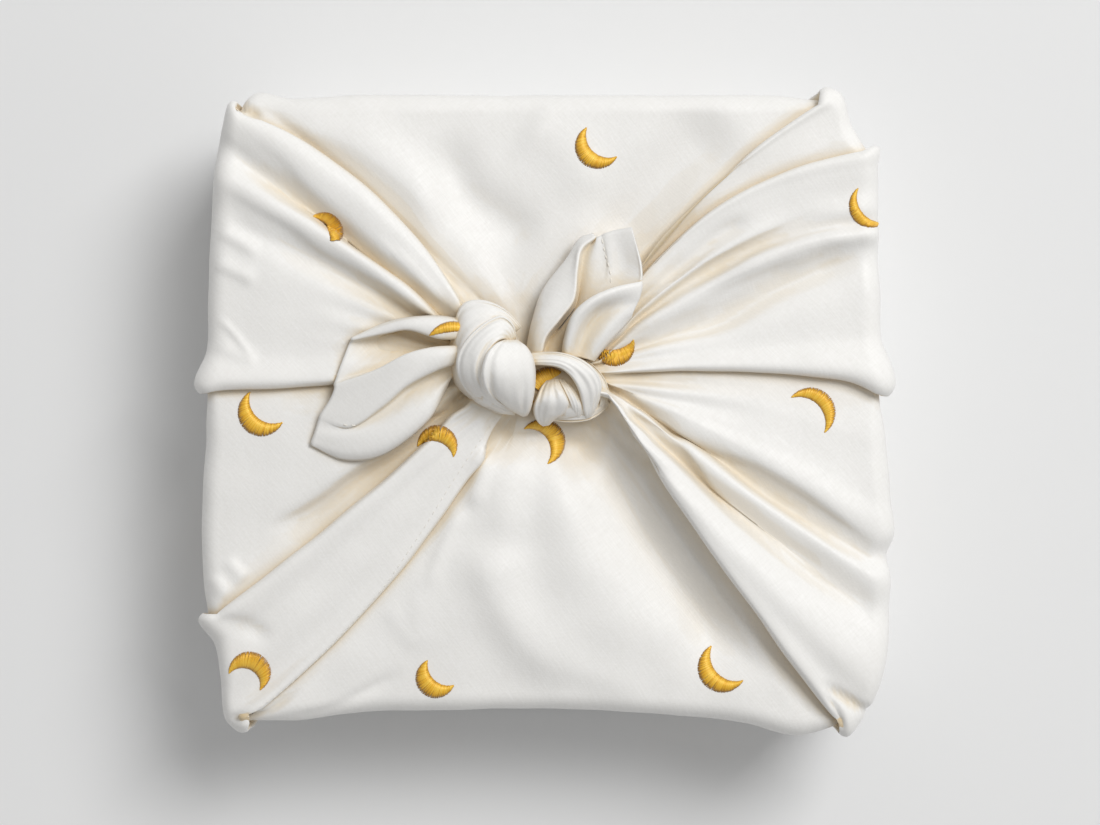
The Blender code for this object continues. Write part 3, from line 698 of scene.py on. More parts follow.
SIDE_CREASES = (
    SideCrease("near left pull", Face.NEAR, 1.6, 5, 3, ((-99, 52), (-88, 34), (-72, 12))),
    SideCrease("near left pull 2", Face.NEAR, 1.0, 4, 3, ((-84, 50), (-70, 36), (-52, 20))),
    SideCrease("near right pull", Face.NEAR, 1.8, 3, 5, ((96, 50), (86, 32), (68, 10))),
    SideCrease("near right pull 2", Face.NEAR, 1.1, 3, 4, ((80, 52), (66, 36), (48, 22))),
    SideCrease("near sag", Face.NEAR, -1.3, 12, 12, ((-34, 50), (-26, 30), (-30, 8))),
    SideCrease("near swell", Face.NEAR, 1.2, 9, 7, ((16, 50), (22, 30), (14, 8))),
    SideCrease("far left pull", Face.FAR, 1.6, 5, 3, ((-98, 52), (-86, 32), (-70, 10))),
    SideCrease("far right pull", Face.FAR, 1.7, 3, 5, ((98, 52), (88, 34), (72, 12))),
    SideCrease("far right pull 2", Face.FAR, 1.0, 3, 4, ((86, 52), (68, 34), (50, 20))),
    SideCrease("far sag", Face.FAR, -1.3, 12, 12, ((30, 50), (24, 28), (30, 8))),
    SideCrease("far swell", Face.FAR, 1.0, 8, 8, ((-24, 50), (-30, 30), (-22, 8))),
    SideCrease("left fold 1", Face.LEFT, 1.4, 4, 2.5, ((-82, 52), (-76, 30), (-78, 8))),
    SideCrease("left fold 2", Face.LEFT, 1.0, 4, 2.5, ((-62, 52), (-56, 32), (-60, 14))),
    SideCrease("left fold 3", Face.LEFT, 1.0, 6, 4, ((30, 52), (34, 32), (28, 10))),
    SideCrease("left pull", Face.LEFT, 1.6, 3, 5, ((92, 52), (82, 34), (70, 12))),
    SideCrease("left slack", Face.LEFT, -1.0, 6, 6, ((56, 46), (50, 26), (54, 8))),
    SideCrease("right fold 1", Face.RIGHT, 1.4, 4, 2.5, ((-88, 52), (-82, 30), (-84, 8))),
    SideCrease("right fold 2", Face.RIGHT, 1.2, 4, 3, ((-66, 52), (-60, 34), (-64, 14))),
    SideCrease("right fold 3", Face.RIGHT, 1.0, 5, 3, ((-40, 52), (-36, 34), (-40, 16))),
    SideCrease("right fold 4", Face.RIGHT, 1.2, 5, 3, ((46, 52), (42, 30), (48, 8))),
    SideCrease("right fold 5", Face.RIGHT, 1.3, 3, 5, ((80, 52), (74, 30), (78, 8))),
    SideCrease("right slack", Face.RIGHT, -1.0, 7, 7, ((22, 46), (26, 26), (20, 8))),
)

# A push given to the cloth in plan round a place of the photograph: the place and the
# push in pixels, and how far it reaches in millimetres.
Nudge = namedtuple("Nudge", "name px py push_x push_y reach")

NUDGES = (
    Nudge("right level end", 888, 388, 0, 12, 9),
    Nudge("left level end", 200, 390, 0, 5, 6),
)


@dataclass(frozen=True)
class WrappedBox:
    """The cloth round the box: columns of points from the knot down to the foot."""

    top: float = 60.0
    half_x: float = 110.0
    half_y: float = 101.0
    squareness: float = 14.0
    corner_turn: float = 6.0
    rim_radius: float = 6.2
    rim_drop: float = 7.2
    foot_radius: float = 4.0
    draw_in: float = 1.2
    splay: float = 0.18
    knot_x: float = -5.0
    knot_y: float = 12.0
    knot_bed: float = 5.0
    knot_spacing: float = 0.3
    foot_spacing: float = 1.2
    steps_on_top: int = 64
    steps_round_rim: int = 7
    steps_down_side: int = 12
    steps_round_foot: int = 3
    column_gap: float = 1.12
    lining_gap: float = 1.0
    lining_inset: float = 6.8
    lining_chamfer: float = 3.0
    lining_turns: int = 72
    step_power: float = 0.92
    opening: float = 0.3
    hang_power: float = 0.8
    gather_depth: float = 0.34
    gather_count: int = 31
    gather_fine_count: int = 53
    gather_reach: tuple = (16.0, 30.0, 40.0, 86.0)
    swell_depth: float = 0.16

    def outward(self, x: float, y: float) -> np.ndarray:
        """The plan direction that looks out of the side at a rim point.

        Args:
            x: The point's place from left to right.
            y: The point's place from near to far.

        Returns:
            A direction of length one.
        """
        grow_x = np.sign(x) * abs(x / self.half_x) ** self.corner_turn / self.half_x
        grow_y = np.sign(y) * abs(y / self.half_y) ** self.corner_turn / self.half_y
        return unit(np.array([grow_x, grow_y]))

    def foot_below(self, x: float, y: float) -> np.ndarray:
        """The point of the base outline that a rim point's cloth runs down to.

        Args:
            x: The rim point's place from left to right.
            y: The rim point's place from near to far.

        Returns:
            The point in plan.
        """
        side_share = smooth_step((abs(x) / self.half_x - 0.9) / 0.08)
        spread = y + side_share * self.splay * y * (1 - min(1.0, (y / self.half_y) ** 2))
        power = self.squareness
        size = abs(x / self.half_x) ** power + abs(spread / self.half_y) ** power
        return np.array([x, spread]) * size ** (-1.0 / power)

    def column(self, fold: Fold, sideways: float, sunk: float, order: float) -> np.ndarray:
        """One line of points from the knot over the top, the rim and the side to the foot.

        Args:
            fold: The fold that the line follows.
            sideways: How far clockwise the line lies.
            sunk: The share of the fold's height by which the line lies lower.
            order: The line's place in a folded edge.

        Returns:
            The points in millimetres.
        """
        start = np.array([fold.leave_x, fold.leave_y], dtype=float)
        rim = np.array([fold.rim_x, fold.rim_y], dtype=float)
        out = self.outward(*rim)
        along = np.array([out[1], -out[0]])
        inner_rim = rim - out * self.rim_radius
        chord = inner_rim - start
        clockwise = unit(np.array([chord[1], -chord[0]]))
        opens = EDGES[fold.edge].start if fold.edge else PLAIN_START
        points = []
        for step in range(self.steps_on_top + 1):
            way = (step / self.steps_on_top) ** self.step_power
            grown = smooth_step((way - opens) / self.opening)
            across = unit(clockwise + (along - clockwise) * way**3)
            shift = order * self.knot_spacing * (1 - grown) + sideways * grown
            bowed = start + chord * way + clockwise * fold.bow * 4 * way * (1 - way)
            plan = bowed + across * shift
            height = (
                fold.near * (1 - 2 * way) * (1 - way)
                + fold.mid * 4 * way * (1 - way)
                + fold.far * way * (2 * way - 1)
            )
            height -= sunk * height * smooth_step((way + 0.06) / 0.2)
            points.append((plan[0], plan[1], self.top + height))
        depth = sunk * abs(fold.far)
        top_end = self.top + fold.far
        for step in range(1, self.steps_round_rim + 1):
            angle = 0.5 * pi * step / self.steps_round_rim
            plan = inner_rim + out * (self.rim_radius - depth) * sin(angle) + along * sideways
            height = top_end - depth * cos(angle) - self.rim_drop * (1 - cos(angle))
            points.append((plan[0], plan[1], height))
        side_top = top_end - self.rim_drop
        foot = self.foot_below(*(rim + along * order * self.foot_spacing))
        for step in range(1, self.steps_down_side + 1):
            down = step / self.steps_down_side
            opened = smooth_step(down / 0.7)
            still_sunk = 1 - smooth_step((down - 0.45) / 0.55)
            hanging = rim + along * (sideways * (1 - opened) + order * self.foot_spacing * opened)
            plan = hanging + (foot - hanging) * smooth_step(down) ** self.hang_power
            plan = plan - out * (depth * still_sunk + self.draw_in * 4 * down * (1 - down))
            points.append((plan[0], plan[1], side_top + (self.foot_radius - side_top) * down))
        for step in range(1, self.steps_round_foot + 1):
            angle = 0.5 * pi * step / self.steps_round_foot
            plan = foot - out * self.foot_radius * (1 - cos(angle))
            points.append((plan[0], plan[1], self.foot_radius * (1 - sin(angle))))
        return np.array(points)

    def main_columns(self) -> np.ndarray:
        """The columns of every fold in clockwise order, three for a folded edge.

        Returns:
            Points by column and step, in millimetres.
        """
        columns = []
        for fold in FOLDS:
            if fold.edge is None:
                columns.append(self.column(fold, 0.0, 0.0, 0.0))
                continue
            edge = EDGES[fold.edge]
            way = edge.faces.value
            crest = self.column(fold, -way * edge.roll, 0.0, -way)
            nose = self.column(fold, 0.0, 0.5 * edge.drop, 0.0)
            tuck = self.column(fold, -way * edge.tuck, edge.drop, way)
            trio = [crest, nose, tuck]
            columns.extend(trio if edge.faces is Side.CLOCKWISE else reversed(trio))
        return np.array(columns)

    def fine_columns(self) -> np.ndarray:
        """The columns with more between them, along smooth curves that close in a ring.

        Returns:
            Points by column and step, in millimetres.
        """
        columns = self.main_columns()
        after = np.roll(columns, -1, axis=0)
        before = np.roll(columns, 1, axis=0)
        ahead = np.maximum(np.linalg.norm(after - columns, axis=2, keepdims=True), 1e-6)
        behind = np.maximum(np.linalg.norm(columns - before, axis=2, keepdims=True), 1e-6)
        lean = (after - columns) / ahead * behind + (columns - before) / behind * ahead
        lean = lean / (ahead + behind)
        next_lean = np.roll(lean, -1, axis=0)
        rows = []
        for index in range(len(columns)):
            gap = ahead[index, self.steps_on_top, 0]
            extra = max(4, round(gap / self.column_gap))
            for number in range(extra):
                part = number / extra
                reach = ahead[index]
                rows.append(
                    columns[index] * (2 * part**3 - 3 * part**2 + 1)
                    + lean[index] * reach * (part**3 - 2 * part**2 + part)
                    + after[index] * (3 * part**2 - 2 * part**3)
                    + next_lean[index] * reach * (part**3 - part**2)
                )
        return np.array(rows)

    def creased(self, rings: np.ndarray) -> np.ndarray:
        """Presses and raises the named creases and the fine gathers near the knot.

        Args:
            rings: Points by ring and column, in millimetres.

        Returns:
            The points moved along the surface's normals.
        """
        down = np.gradient(rings, axis=0)
        round_it = np.roll(rings, -1, axis=1) - np.roll(rings, 1, axis=1)
        normals = unit(np.cross(round_it, down))
        normals *= np.sign(normals[: self.steps_on_top // 2, :, 2].mean())
        for nudge in NUDGES:
            place = np.array(PLAN.place(nudge.px, nudge.py))
            distance = np.linalg.norm(rings[:, :, :2] - place, axis=2)
            push = np.array([nudge.push_x, -nudge.push_y, 0.0]) * PLAN.mm_per_px
            high = smooth_step((rings[:, :, 2] - 20) / 30)
            rings = rings + push * (bell(distance, nudge.reach) * high)[:, :, None]
        flat = rings[:, :, :2].reshape(-1, 2)
        offset = np.zeros(len(flat))
        for crease in CREASES:
            line = [PLAN.place(*pixel) for pixel in crease.line]
            offset += crease_height(flat, crease, line)
        offset = offset.reshape(rings.shape[:2])
        offset *= smooth_step((rings[:, :, 2] - self.top + 8) / 6)
        offset += self.side_relief(rings)
        offset += self.gathers(rings)
        offset += self.unevenness(rings)
        return rings + normals * offset[:, :, None]

    def side_relief(self, rings: np.ndarray) -> np.ndarray:
        """How far the creases of the sides raise each point.

        Args:
            rings: Points by ring and column, in millimetres.

        Returns:
            A height for each point, in millimetres.
        """
        relief = np.zeros(rings.shape[:2])
        low = smooth_step((self.top - 1 - rings[:, :, 2]) / 6) * smooth_step(rings[:, :, 2] / 8)
        for crease in SIDE_CREASES:
            axis_a, axis_b, look = (np.array(axis) for axis in crease.face.value)
            half = abs(look[0]) * self.half_x + abs(look[1]) * self.half_y
            facing = smooth_step((rings @ look / half - 0.9) / 0.05) * low
            flat = np.stack([rings @ axis_a, rings @ axis_b], axis=-1).reshape(-1, 2)
            height = crease_height(flat, crease, crease.line).reshape(rings.shape[:2])
            relief += height * facing
        return relief

    def gathers(self, rings: np.ndarray) -> np.ndarray:
        """Fine radiating pleats in the two gathered ends, strongest close to the knot.

        Args:
            rings: Points by ring and column, in millimetres.

        Returns:
            A height for each point, in millimetres.
        """
        away_x = rings[:, :, 0] - self.knot_x
        away_y = (rings[:, :, 1] - self.knot_y) * 1.1
        distance = np.hypot(away_x, away_y)
        angle = np.arctan2(away_y, away_x)
        ends = smooth_step((np.abs(np.cos(angle)) - 0.66) / 0.12)
        start, full, fade, end = self.gather_reach
        near = smooth_step((distance - start) / (full - start))
        near *= 1 - smooth_step((distance - fade) / (end - fade))
        ripple = np.sin(angle * self.gather_count + 1.3 * np.sin(angle * 7))
        ripple += 0.6 * np.sin(angle * self.gather_fine_count + 2.0)
        return self.gather_depth * ripple * ends * near

    def unevenness(self, rings: np.ndarray) -> np.ndarray:
        """Slow swells that keep the cloth from lying dead flat.

        Args:
            rings: Points by ring and column, in millimetres.

        Returns:
            A height for each point, in millimetres.
        """
        x, y, z = rings[:, :, 0], rings[:, :, 1], rings[:, :, 2]
        # The lengths of the waves don't fit each other, so the swells never repeat.
        swell = np.sin(x / 9.1 + 0.8 * np.sin(y / 13.0)) * np.cos(y / 7.7 + 0.6 * np.sin(x / 11.0))
        swell += 0.6 * np.sin((x + y) / 5.3 + z / 6.0) * np.sin((x - y) / 6.1 - z / 8.0)
        foot = smooth_step((z - 3) / 6)
        return self.swell_depth * swell * foot

    def outside(self) -> bpy.types.Object:
        """The cloth's outer face, closed under the knot and under the base.

        Returns:
            The face as a closed mesh.
        """
        rings = self.creased(np.swapaxes(self.fine_columns(), 0, 1))
        rings[-1, :, 2] = 0.0
        count, across = rings.shape[:2]
        vertices = rings.reshape(-1, 3).tolist()
        faces = grid_faces(count, across, True)
        middle = len(vertices)
        vertices.append([self.knot_x, self.knot_y, self.top + self.knot_bed])
        base = len(vertices)
        vertices.append([0.0, 0.0, 0.0])
        last = (count - 1) * across
        for place in range(across):
            beside = (place + 1) % across
            faces.append((middle, beside, place))
            faces.append((base, last + place, last + beside))
        return mesh_piece("cloth_outside", vertices, faces)

    def inside(self) -> bpy.types.Object:
        """The cloth's inner face, where it lies on the box.

        Returns:
            The face as a closed mesh that looks inwards.
        """
        turns = self.lining_turns
        gap, cut = self.lining_gap, self.lining_chamfer
        half_x, half_y = self.half_x - self.lining_inset, self.half_y - self.lining_inset
        levels = ((gap, cut), (gap + 1.5, 0.0), (self.top - 15.0, 0.0), (self.top - 12.0, cut))
        vertices = []
        for level, inset in levels:
            for turn in range(turns):
                angle = tau * turn / turns
                reach_x = abs(cos(angle)) ** (2 / self.squareness) * np.sign(cos(angle))
                reach_y = abs(sin(angle)) ** (2 / self.squareness) * np.sign(sin(angle))
                vertices.append(((half_x - inset) * reach_x, (half_y - inset) * reach_y, level))
        faces = [tuple(reversed(face)) for face in grid_faces(len(levels), turns, True)]
        faces.append(tuple(range(turns)))
        faces.append(tuple(reversed(range((len(levels) - 1) * turns, len(levels) * turns))))
        return mesh_piece("cloth_inside", vertices, faces)


# The hidden rest of the two flaps, which lies flat on the box under the gathered ends:
# its outline in plan and how far it lies below the box's top, in millimetres.
HiddenFlap = namedtuple("HiddenFlap", "name depth outline")

HIDDEN_FLAPS = (
    HiddenFlap(
        "far",
        9.8,
        ((-103, 90), (-62, 62), (-22, 30), (-5, 12), (14, 24), (52, 58), (92, 90))
        + ((103, 90), (103, 16), (60, -34), (12, -86), (-12, -86), (-60, -34), (-103, 16)),
    ),
    HiddenFlap(
        "near",
        8.7,
        ((103, -90), (94, -90), (50, -50), (15, 2), (-5, 12), (-18, -4), (-56, -48), (-92, -90))
        + ((-103, -90), (-103, -16), (-60, 34), (-12, 86), (12, 86), (60, 34), (103, -16)),
    ),
)


def hidden_flap(flap: HiddenFlap, top: float, thickness: float = 0.6) -> bpy.types.Object:
    """The hidden rest of a flap as a flat closed sheet.

    Args:
        flap: The flap's outline and depth.
        top: The height of the box's top in millimetres.
        thickness: The cloth's thickness in millimetres.

    Returns:
        The sheet.
    """
    level = top - flap.depth
    count = len(flap.outline)
    vertices = [(x, y, level) for x, y in flap.outline]
    vertices += [(x, y, level - thickness) for x, y in flap.outline]
    faces = [tuple(range(count)), tuple(reversed(range(count, 2 * count)))]
    for corner in range(count):
        beside = (corner + 1) % count
        faces.append((beside, corner, corner + count, beside + count))
    piece = mesh_piece("hidden_flap_" + flap.name, vertices, faces)
    turn_outwards(piece)
    return piece


def crease_height(flat: np.ndarray, crease: Crease | SideCrease, line: Rows) -> np.ndarray:
    """How far a crease raises each plan point.

    Args:
        flat: Plan points in millimetres.
        crease: The crease.
        line: The crease's line in the same plane.

    Returns:
        A height for each point, in millimetres.
    """
    line = curve_through(line, 8 * len(line))
    best = np.full(len(flat), 1e9)
    part = np.zeros(len(flat))
    side = np.zeros(len(flat))
    pieces = len(line) - 1
    for index in range(pieces):
        run = line[index + 1] - line[index]
        rel = flat - line[index]
        share = np.clip(rel @ run / (run @ run), 0, 1)
        gap = rel - share[:, None] * run
        distance = np.hypot(gap[:, 0], gap[:, 1])
        nearer = distance < best
        best = np.where(nearer, distance, best)
        part = np.where(nearer, (index + share) / pieces, part)
        side = np.where(nearer, run[0] * rel[:, 1] - run[1] * rel[:, 0], side)
    width = np.where(side > 0, crease.left, crease.right)
    fading = 0.25
    ends = smooth_step(part / fading) * smooth_step((1 - part) / fading)
    return crease.height * bell(best, width) * ends


# The knot.

# A station of a knot band in the photograph's pixels: its two edges, the height of each
# above the box's top and how far the band's middle stands up between them, in mm.
Station = namedtuple("Station", "ax ay bx by a_rise b_rise crown")

BANDS = {
    "left turn outer": (
        Station(522, 328, 516, 333, 10, 10, 1.0),
        Station(509, 313, 509, 328, 10, 13, 1.8),
        Station(494, 304, 495, 328, 9, 15, 2.6),
        Station(478, 300.5, 483, 335, 8, 17, 3.2),
        Station(463, 305, 474, 345, 7.5, 18, 3.6),
        Station(455, 322, 467, 354, 7, 18, 3.6),
        Station(451, 342, 463, 364, 6.5, 17.5, 3.2),
        Station(450, 362, 462, 374, 6, 16.5, 2.6),
        Station(453, 380, 465, 386, 5.5, 14, 2.4),
        Station(464, 394, 475, 394, 5, 11, 2.2),
        Station(482, 407, 488, 402, 4.6, 8.5, 2.0),
        Station(500, 414, 503, 407, 4, 7, 1.8),
        Station(514, 414, 514, 408, 3, 5, 1.5),
    ),
    "left turn middle": (
        Station(517, 340, 509, 344, 15, 17, 0.8),
        Station(514.5, 327, 507, 341, 17, 18, 1.2),
        Station(504, 317.5, 503, 341, 17, 20, 2.0),
        Station(492, 320.5, 498, 344, 17.5, 21, 2.6),
        Station(480, 328.5, 493, 350, 18, 21.5, 3.0),
        Station(469, 339, 489, 358, 18, 22, 3.2),
        Station(460.5, 352, 487, 367, 17, 22, 3.6),
        Station(457.5, 366, 487, 378, 16, 21, 3.8),
        Station(460, 380, 490, 389, 14, 19, 3.8),
        Station(469, 394, 495, 397, 11, 16, 3.4),
        Station(485, 405.5, 502, 403, 8.5, 12.5, 2.8),
        Station(502, 413.5, 510, 406, 6, 9, 2.2),
        Station(515, 415.5, 518, 408, 4, 6, 1.6),
    ),
    "left turn front": (
        Station(505, 341, 518, 341, 19, 16, 1.2),
        Station(497, 345, 527, 347.5, 21.5, 16.5, 3.4),
        Station(489, 353, 533, 357, 22.5, 16, 5.4),
        Station(484.5, 363, 535.5, 367, 22.5, 15, 6.8),
        Station(482.5, 375, 536, 379, 22, 14, 7.4),
        Station(484, 386, 535, 391, 19.5, 12.5, 7.2),
        Station(489.5, 395.5, 533, 402, 16, 10.5, 6.2),
        Station(499, 403, 530.5, 411, 12, 7.5, 4.8),
        Station(507, 408, 527, 416, 8.5, 5, 3.2),
        Station(515, 413, 523, 417, 5, 3.5, 1.4),
    ),
    "right turn outer": (
        Station(574, 356, 574, 365, 8, 9, 1.0),
        Station(589, 362.5, 584, 371, 7, 9, 1.5),
        Station(600.5, 373, 592, 381, 6, 8, 1.9),
        Station(607.5, 386, 597, 392, 5, 7, 2.1),
        Station(608.5, 399, 599, 403, 3.5, 5, 1.9),
        Station(603, 410, 595, 411, 2, 3, 1.2),
    ),
    "right turn under layer": (
        Station(551, 421, 554, 411, 3, 5, 1.0),
        Station(570, 422.5, 570, 411, 3, 5.4, 1.5),
        Station(588, 420.5, 584, 409, 3, 5.4, 1.5),
        Station(601, 413.5, 594, 403, 2.5, 5, 1.3),
        Station(610, 403, 602, 396, 2.5, 4, 1.0),
    ),
    "right turn mouth": (
        Station(528, 360, 528, 406, 8, 6, 0.6),
        Station(540, 360, 540, 405, 8, 6, 0.8),
        Station(553, 361, 553, 403, 8, 6, 0.8),
        Station(566, 364, 564, 400, 7.5, 6, 0.6),
        Station(576, 370, 572, 398, 7, 5.6, 0.4),
    ),
    "right turn arch": (
        Station(529, 354, 531, 366, 12, 13, 2.4),
        Station(545, 352.5, 547, 366.5, 12, 13.4, 3.0),
        Station(560, 353, 559.5, 369, 12, 13.4, 3.6),
        Station(575, 357, 568.5, 375.5, 11.5, 12.6, 4.0),
        Station(588, 364, 575, 384.5, 10.5, 11.6, 4.2),
        Station(597, 373, 579, 394, 9.5, 10, 4.2),
        Station(601.5, 384, 581, 403, 8, 8, 4.0),
        Station(600.5, 397, 582.5, 411, 6, 6, 3.4),
        Station(595.5, 410, 585, 417, 4, 4, 2.6),
        Station(591, 418, 587, 419.5, 3, 3, 1.2),
    ),
    "right turn fold 2": (
        Station(556, 379, 565, 379, 9, 9, 1.0),
        Station(559.5, 387, 573, 387.5, 9.5, 9, 2.6),
        Station(564, 397, 579.5, 397.5, 9, 8, 3.3),
        Station(569, 407, 582.5, 407.5, 7.5, 6.5, 3.1),
        Station(572, 414.5, 580.5, 416.5, 5, 4.5, 1.9),
        Station(574.5, 418.5, 578, 419.5, 3, 3, 0.8),
    ),
    "right turn fold 1": (
        Station(546, 381, 558, 378.5, 8, 9, 1.5),
        Station(540.5, 388, 561.5, 386, 9, 10, 3.4),
        Station(536.5, 397, 566, 395, 9.5, 10, 4.7),
        Station(533.5, 406, 569, 404.5, 8.5, 8.6, 4.9),
        Station(534, 415, 564, 413.5, 6, 6.2, 4.0),
        Station(538, 422.5, 556, 419, 3.5, 4, 2.7),
        Station(543, 426.5, 549, 425.5, 2, 2, 1.0),
    ),
}

# A soft groove along a knot band: its share of the way across at the start and at the
# end, its depth and half width, and the share of the band's length where it lies.
Groove = namedtuple("Groove", "band start_across end_across depth width start end")

GROOVES = (
    Groove("left turn front", 0.24, 0.12, 1.5, 0.07, 0.3, 0.92),
    Groove("left turn front", 0.78, 0.8, 0.8, 0.06, 0.35, 0.95),
    Groove("left turn middle", 0.82, 0.7, 0.7, 0.09, 0.2, 0.8),
    Groove("left turn middle", 0.4, 0.5, 0.45, 0.08, 0.4, 0.95),
    Groove("left turn outer", 0.55, 0.45, 0.6, 0.1, 0.1, 0.6),
    Groove("right turn arch", 0.7, 0.62, 0.8, 0.1, 0.3, 0.9),
    Groove("right turn arch", 0.3, 0.36, 0.5, 0.08, 0.45, 0.95),
    Groove("right turn fold 1", 0.6, 0.7, 0.9, 0.1, 0.15, 0.75),
    Groove("right turn fold 1", 0.25, 0.3, 0.5, 0.08, 0.4, 0.9),
)

# A lump of cloth inside the knot: its centre above the box's top and its half sizes.
Lump = namedtuple("Lump", "name x y rise half_x half_y half_z")

LUMPS = (
    Lump("left turn", -17.6, 16.4, 8.0, 10.4, 15.2, 13.5),
    Lump("right turn", 7.2, 6.4, 3.0, 11.4, 9.0, 8.0),
)


@dataclass(frozen=True)
class Knot:
    """The square knot: bands of cloth wound over each other round two soft cores."""

    top: float
    steps_along: int = 38
    steps_over: int = 29
    steps_under: int = 5
    edge_power: float = 0.5
    under_depth: float = 2.6
    edge_fade: float = 12.0
    ripple: float = 0.12
    ripple_turns: float = 27.0
    fold_height: float = 0.42
    fold_at: float = 0.05
    fold_width: float = 0.045
    valley_at: float = 0.15
    valley_width: float = 0.05
    valley_share: float = 1.1
    end_fade: float = 0.15
    core_segments: int = 24
    core_rings: int = 14

    def pieces(self) -> list:
        """Every band and core of the knot.

        Returns:
            The bands and then the cores as closed meshes.
        """
        made = [self.band(name, stations) for name, stations in BANDS.items()]
        made += [self.core(lump) for lump in LUMPS]
        return made

    def band(self, name: str, stations: tuple) -> bpy.types.Object:
        """One band of cloth, rounded over and closed underneath.

        Args:
            name: The band's name in the table.
            stations: Its stations from one end to the other.

        Returns:
            The band as a closed mesh.
        """
        rows = []
        for station in stations:
            first = PLAN.place(station.ax, station.ay)
            second = PLAN.place(station.bx, station.by)
            rows.append((*first, station.a_rise, *second, station.b_rise, station.crown))
        path = curve_through(rows, self.steps_along)
        angles = np.concatenate(
            [
                np.linspace(0, pi, self.steps_over),
                np.linspace(pi, tau, self.steps_under + 2)[1:-1],
            ]
        )
        across = (1 - np.cos(angles)) / 2
        bulge = np.sign(np.sin(angles)) * np.abs(np.sin(angles)) ** self.edge_power
        bulge[[0, self.steps_over - 1]] = 0.0
        vertices = []
        for step, row in enumerate(path):
            along = step / (self.steps_along - 1)
            a_edge, b_edge, crown = row[0:3], row[3:6], row[6]
            middle = a_edge + (b_edge - a_edge) * across[:, None]
            height = np.where(bulge > 0, crown * bulge, self.under_depth * bulge)
            height = height + np.where(bulge > 0, self.relief(name, across, along), 0.0)
            middle[:, 2] += height
            vertices.extend(middle.tolist())
        faces = tube_faces(self.steps_along, len(angles), 0)
        points = np.array(vertices) + (0.0, 0.0, self.top)
        piece = mesh_piece("knot_" + name.replace(" ", "_"), points, faces)
        turn_outwards(piece)
        return piece

    def relief(self, name: str, across: np.ndarray, along: float) -> np.ndarray:
        """The soft grooves and faint lengthwise ripples of a band.

        Args:
            name: The band's name.
            across: Shares of the way across the band.
            along: The share of the way along it.

        Returns:
            A height for each place across.
        """
        edge = np.clip(np.minimum(across, 1 - across) * self.edge_fade, 0, 1)
        height = self.ripple * np.sin(across * self.ripple_turns + 4.0 * along) * edge
        fold = self.fold_height * smooth_step(along / self.end_fade)
        fold *= smooth_step((1 - along) / self.end_fade)
        crest = bell(across - self.fold_at, self.fold_width)
        valley = self.valley_share * bell(across - self.valley_at, self.valley_width)
        height = height + fold * (crest - valley)
        for groove in GROOVES:
            if groove.band != name:
                continue
            place = groove.start_across + (groove.end_across - groove.start_across) * along
            span = groove.end - groove.start
            share = (along - groove.start) / span
            fade = smooth_step(share / 0.3) * smooth_step((1 - share) / 0.3)
            height = height - groove.depth * fade * bell(across - place, groove.width) * edge
        return height

    def core(self, lump: Lump) -> bpy.types.Object:
        """The gathered cloth inside one turn of the knot.

        Args:
            lump: Its place and size.

        Returns:
            The lump as a closed mesh.
        """
        bpy.ops.object.select_all(action="DESELECT")
        bpy.ops.mesh.primitive_uv_sphere_add(
            segments=self.core_segments, ring_count=self.core_rings, radius=MM
        )
        core = bpy.context.active_object
        core.name = "knot_core_" + lump.name.replace(" ", "_")
        for vertex in core.data.vertices:
            point = vertex.co / MM
            vertex.co = (
                MM * (lump.x + point.x * lump.half_x),
                MM * (lump.y + point.y * lump.half_y),
                MM * (self.top + lump.rise + point.z * lump.half_z),
            )
        return core


# The free ends.

# A lengthwise line of a free end in the photograph's pixels, from the knot outwards;
# each point has its height above the box's top in millimetres.
Line = namedtuple("Line", "name points")

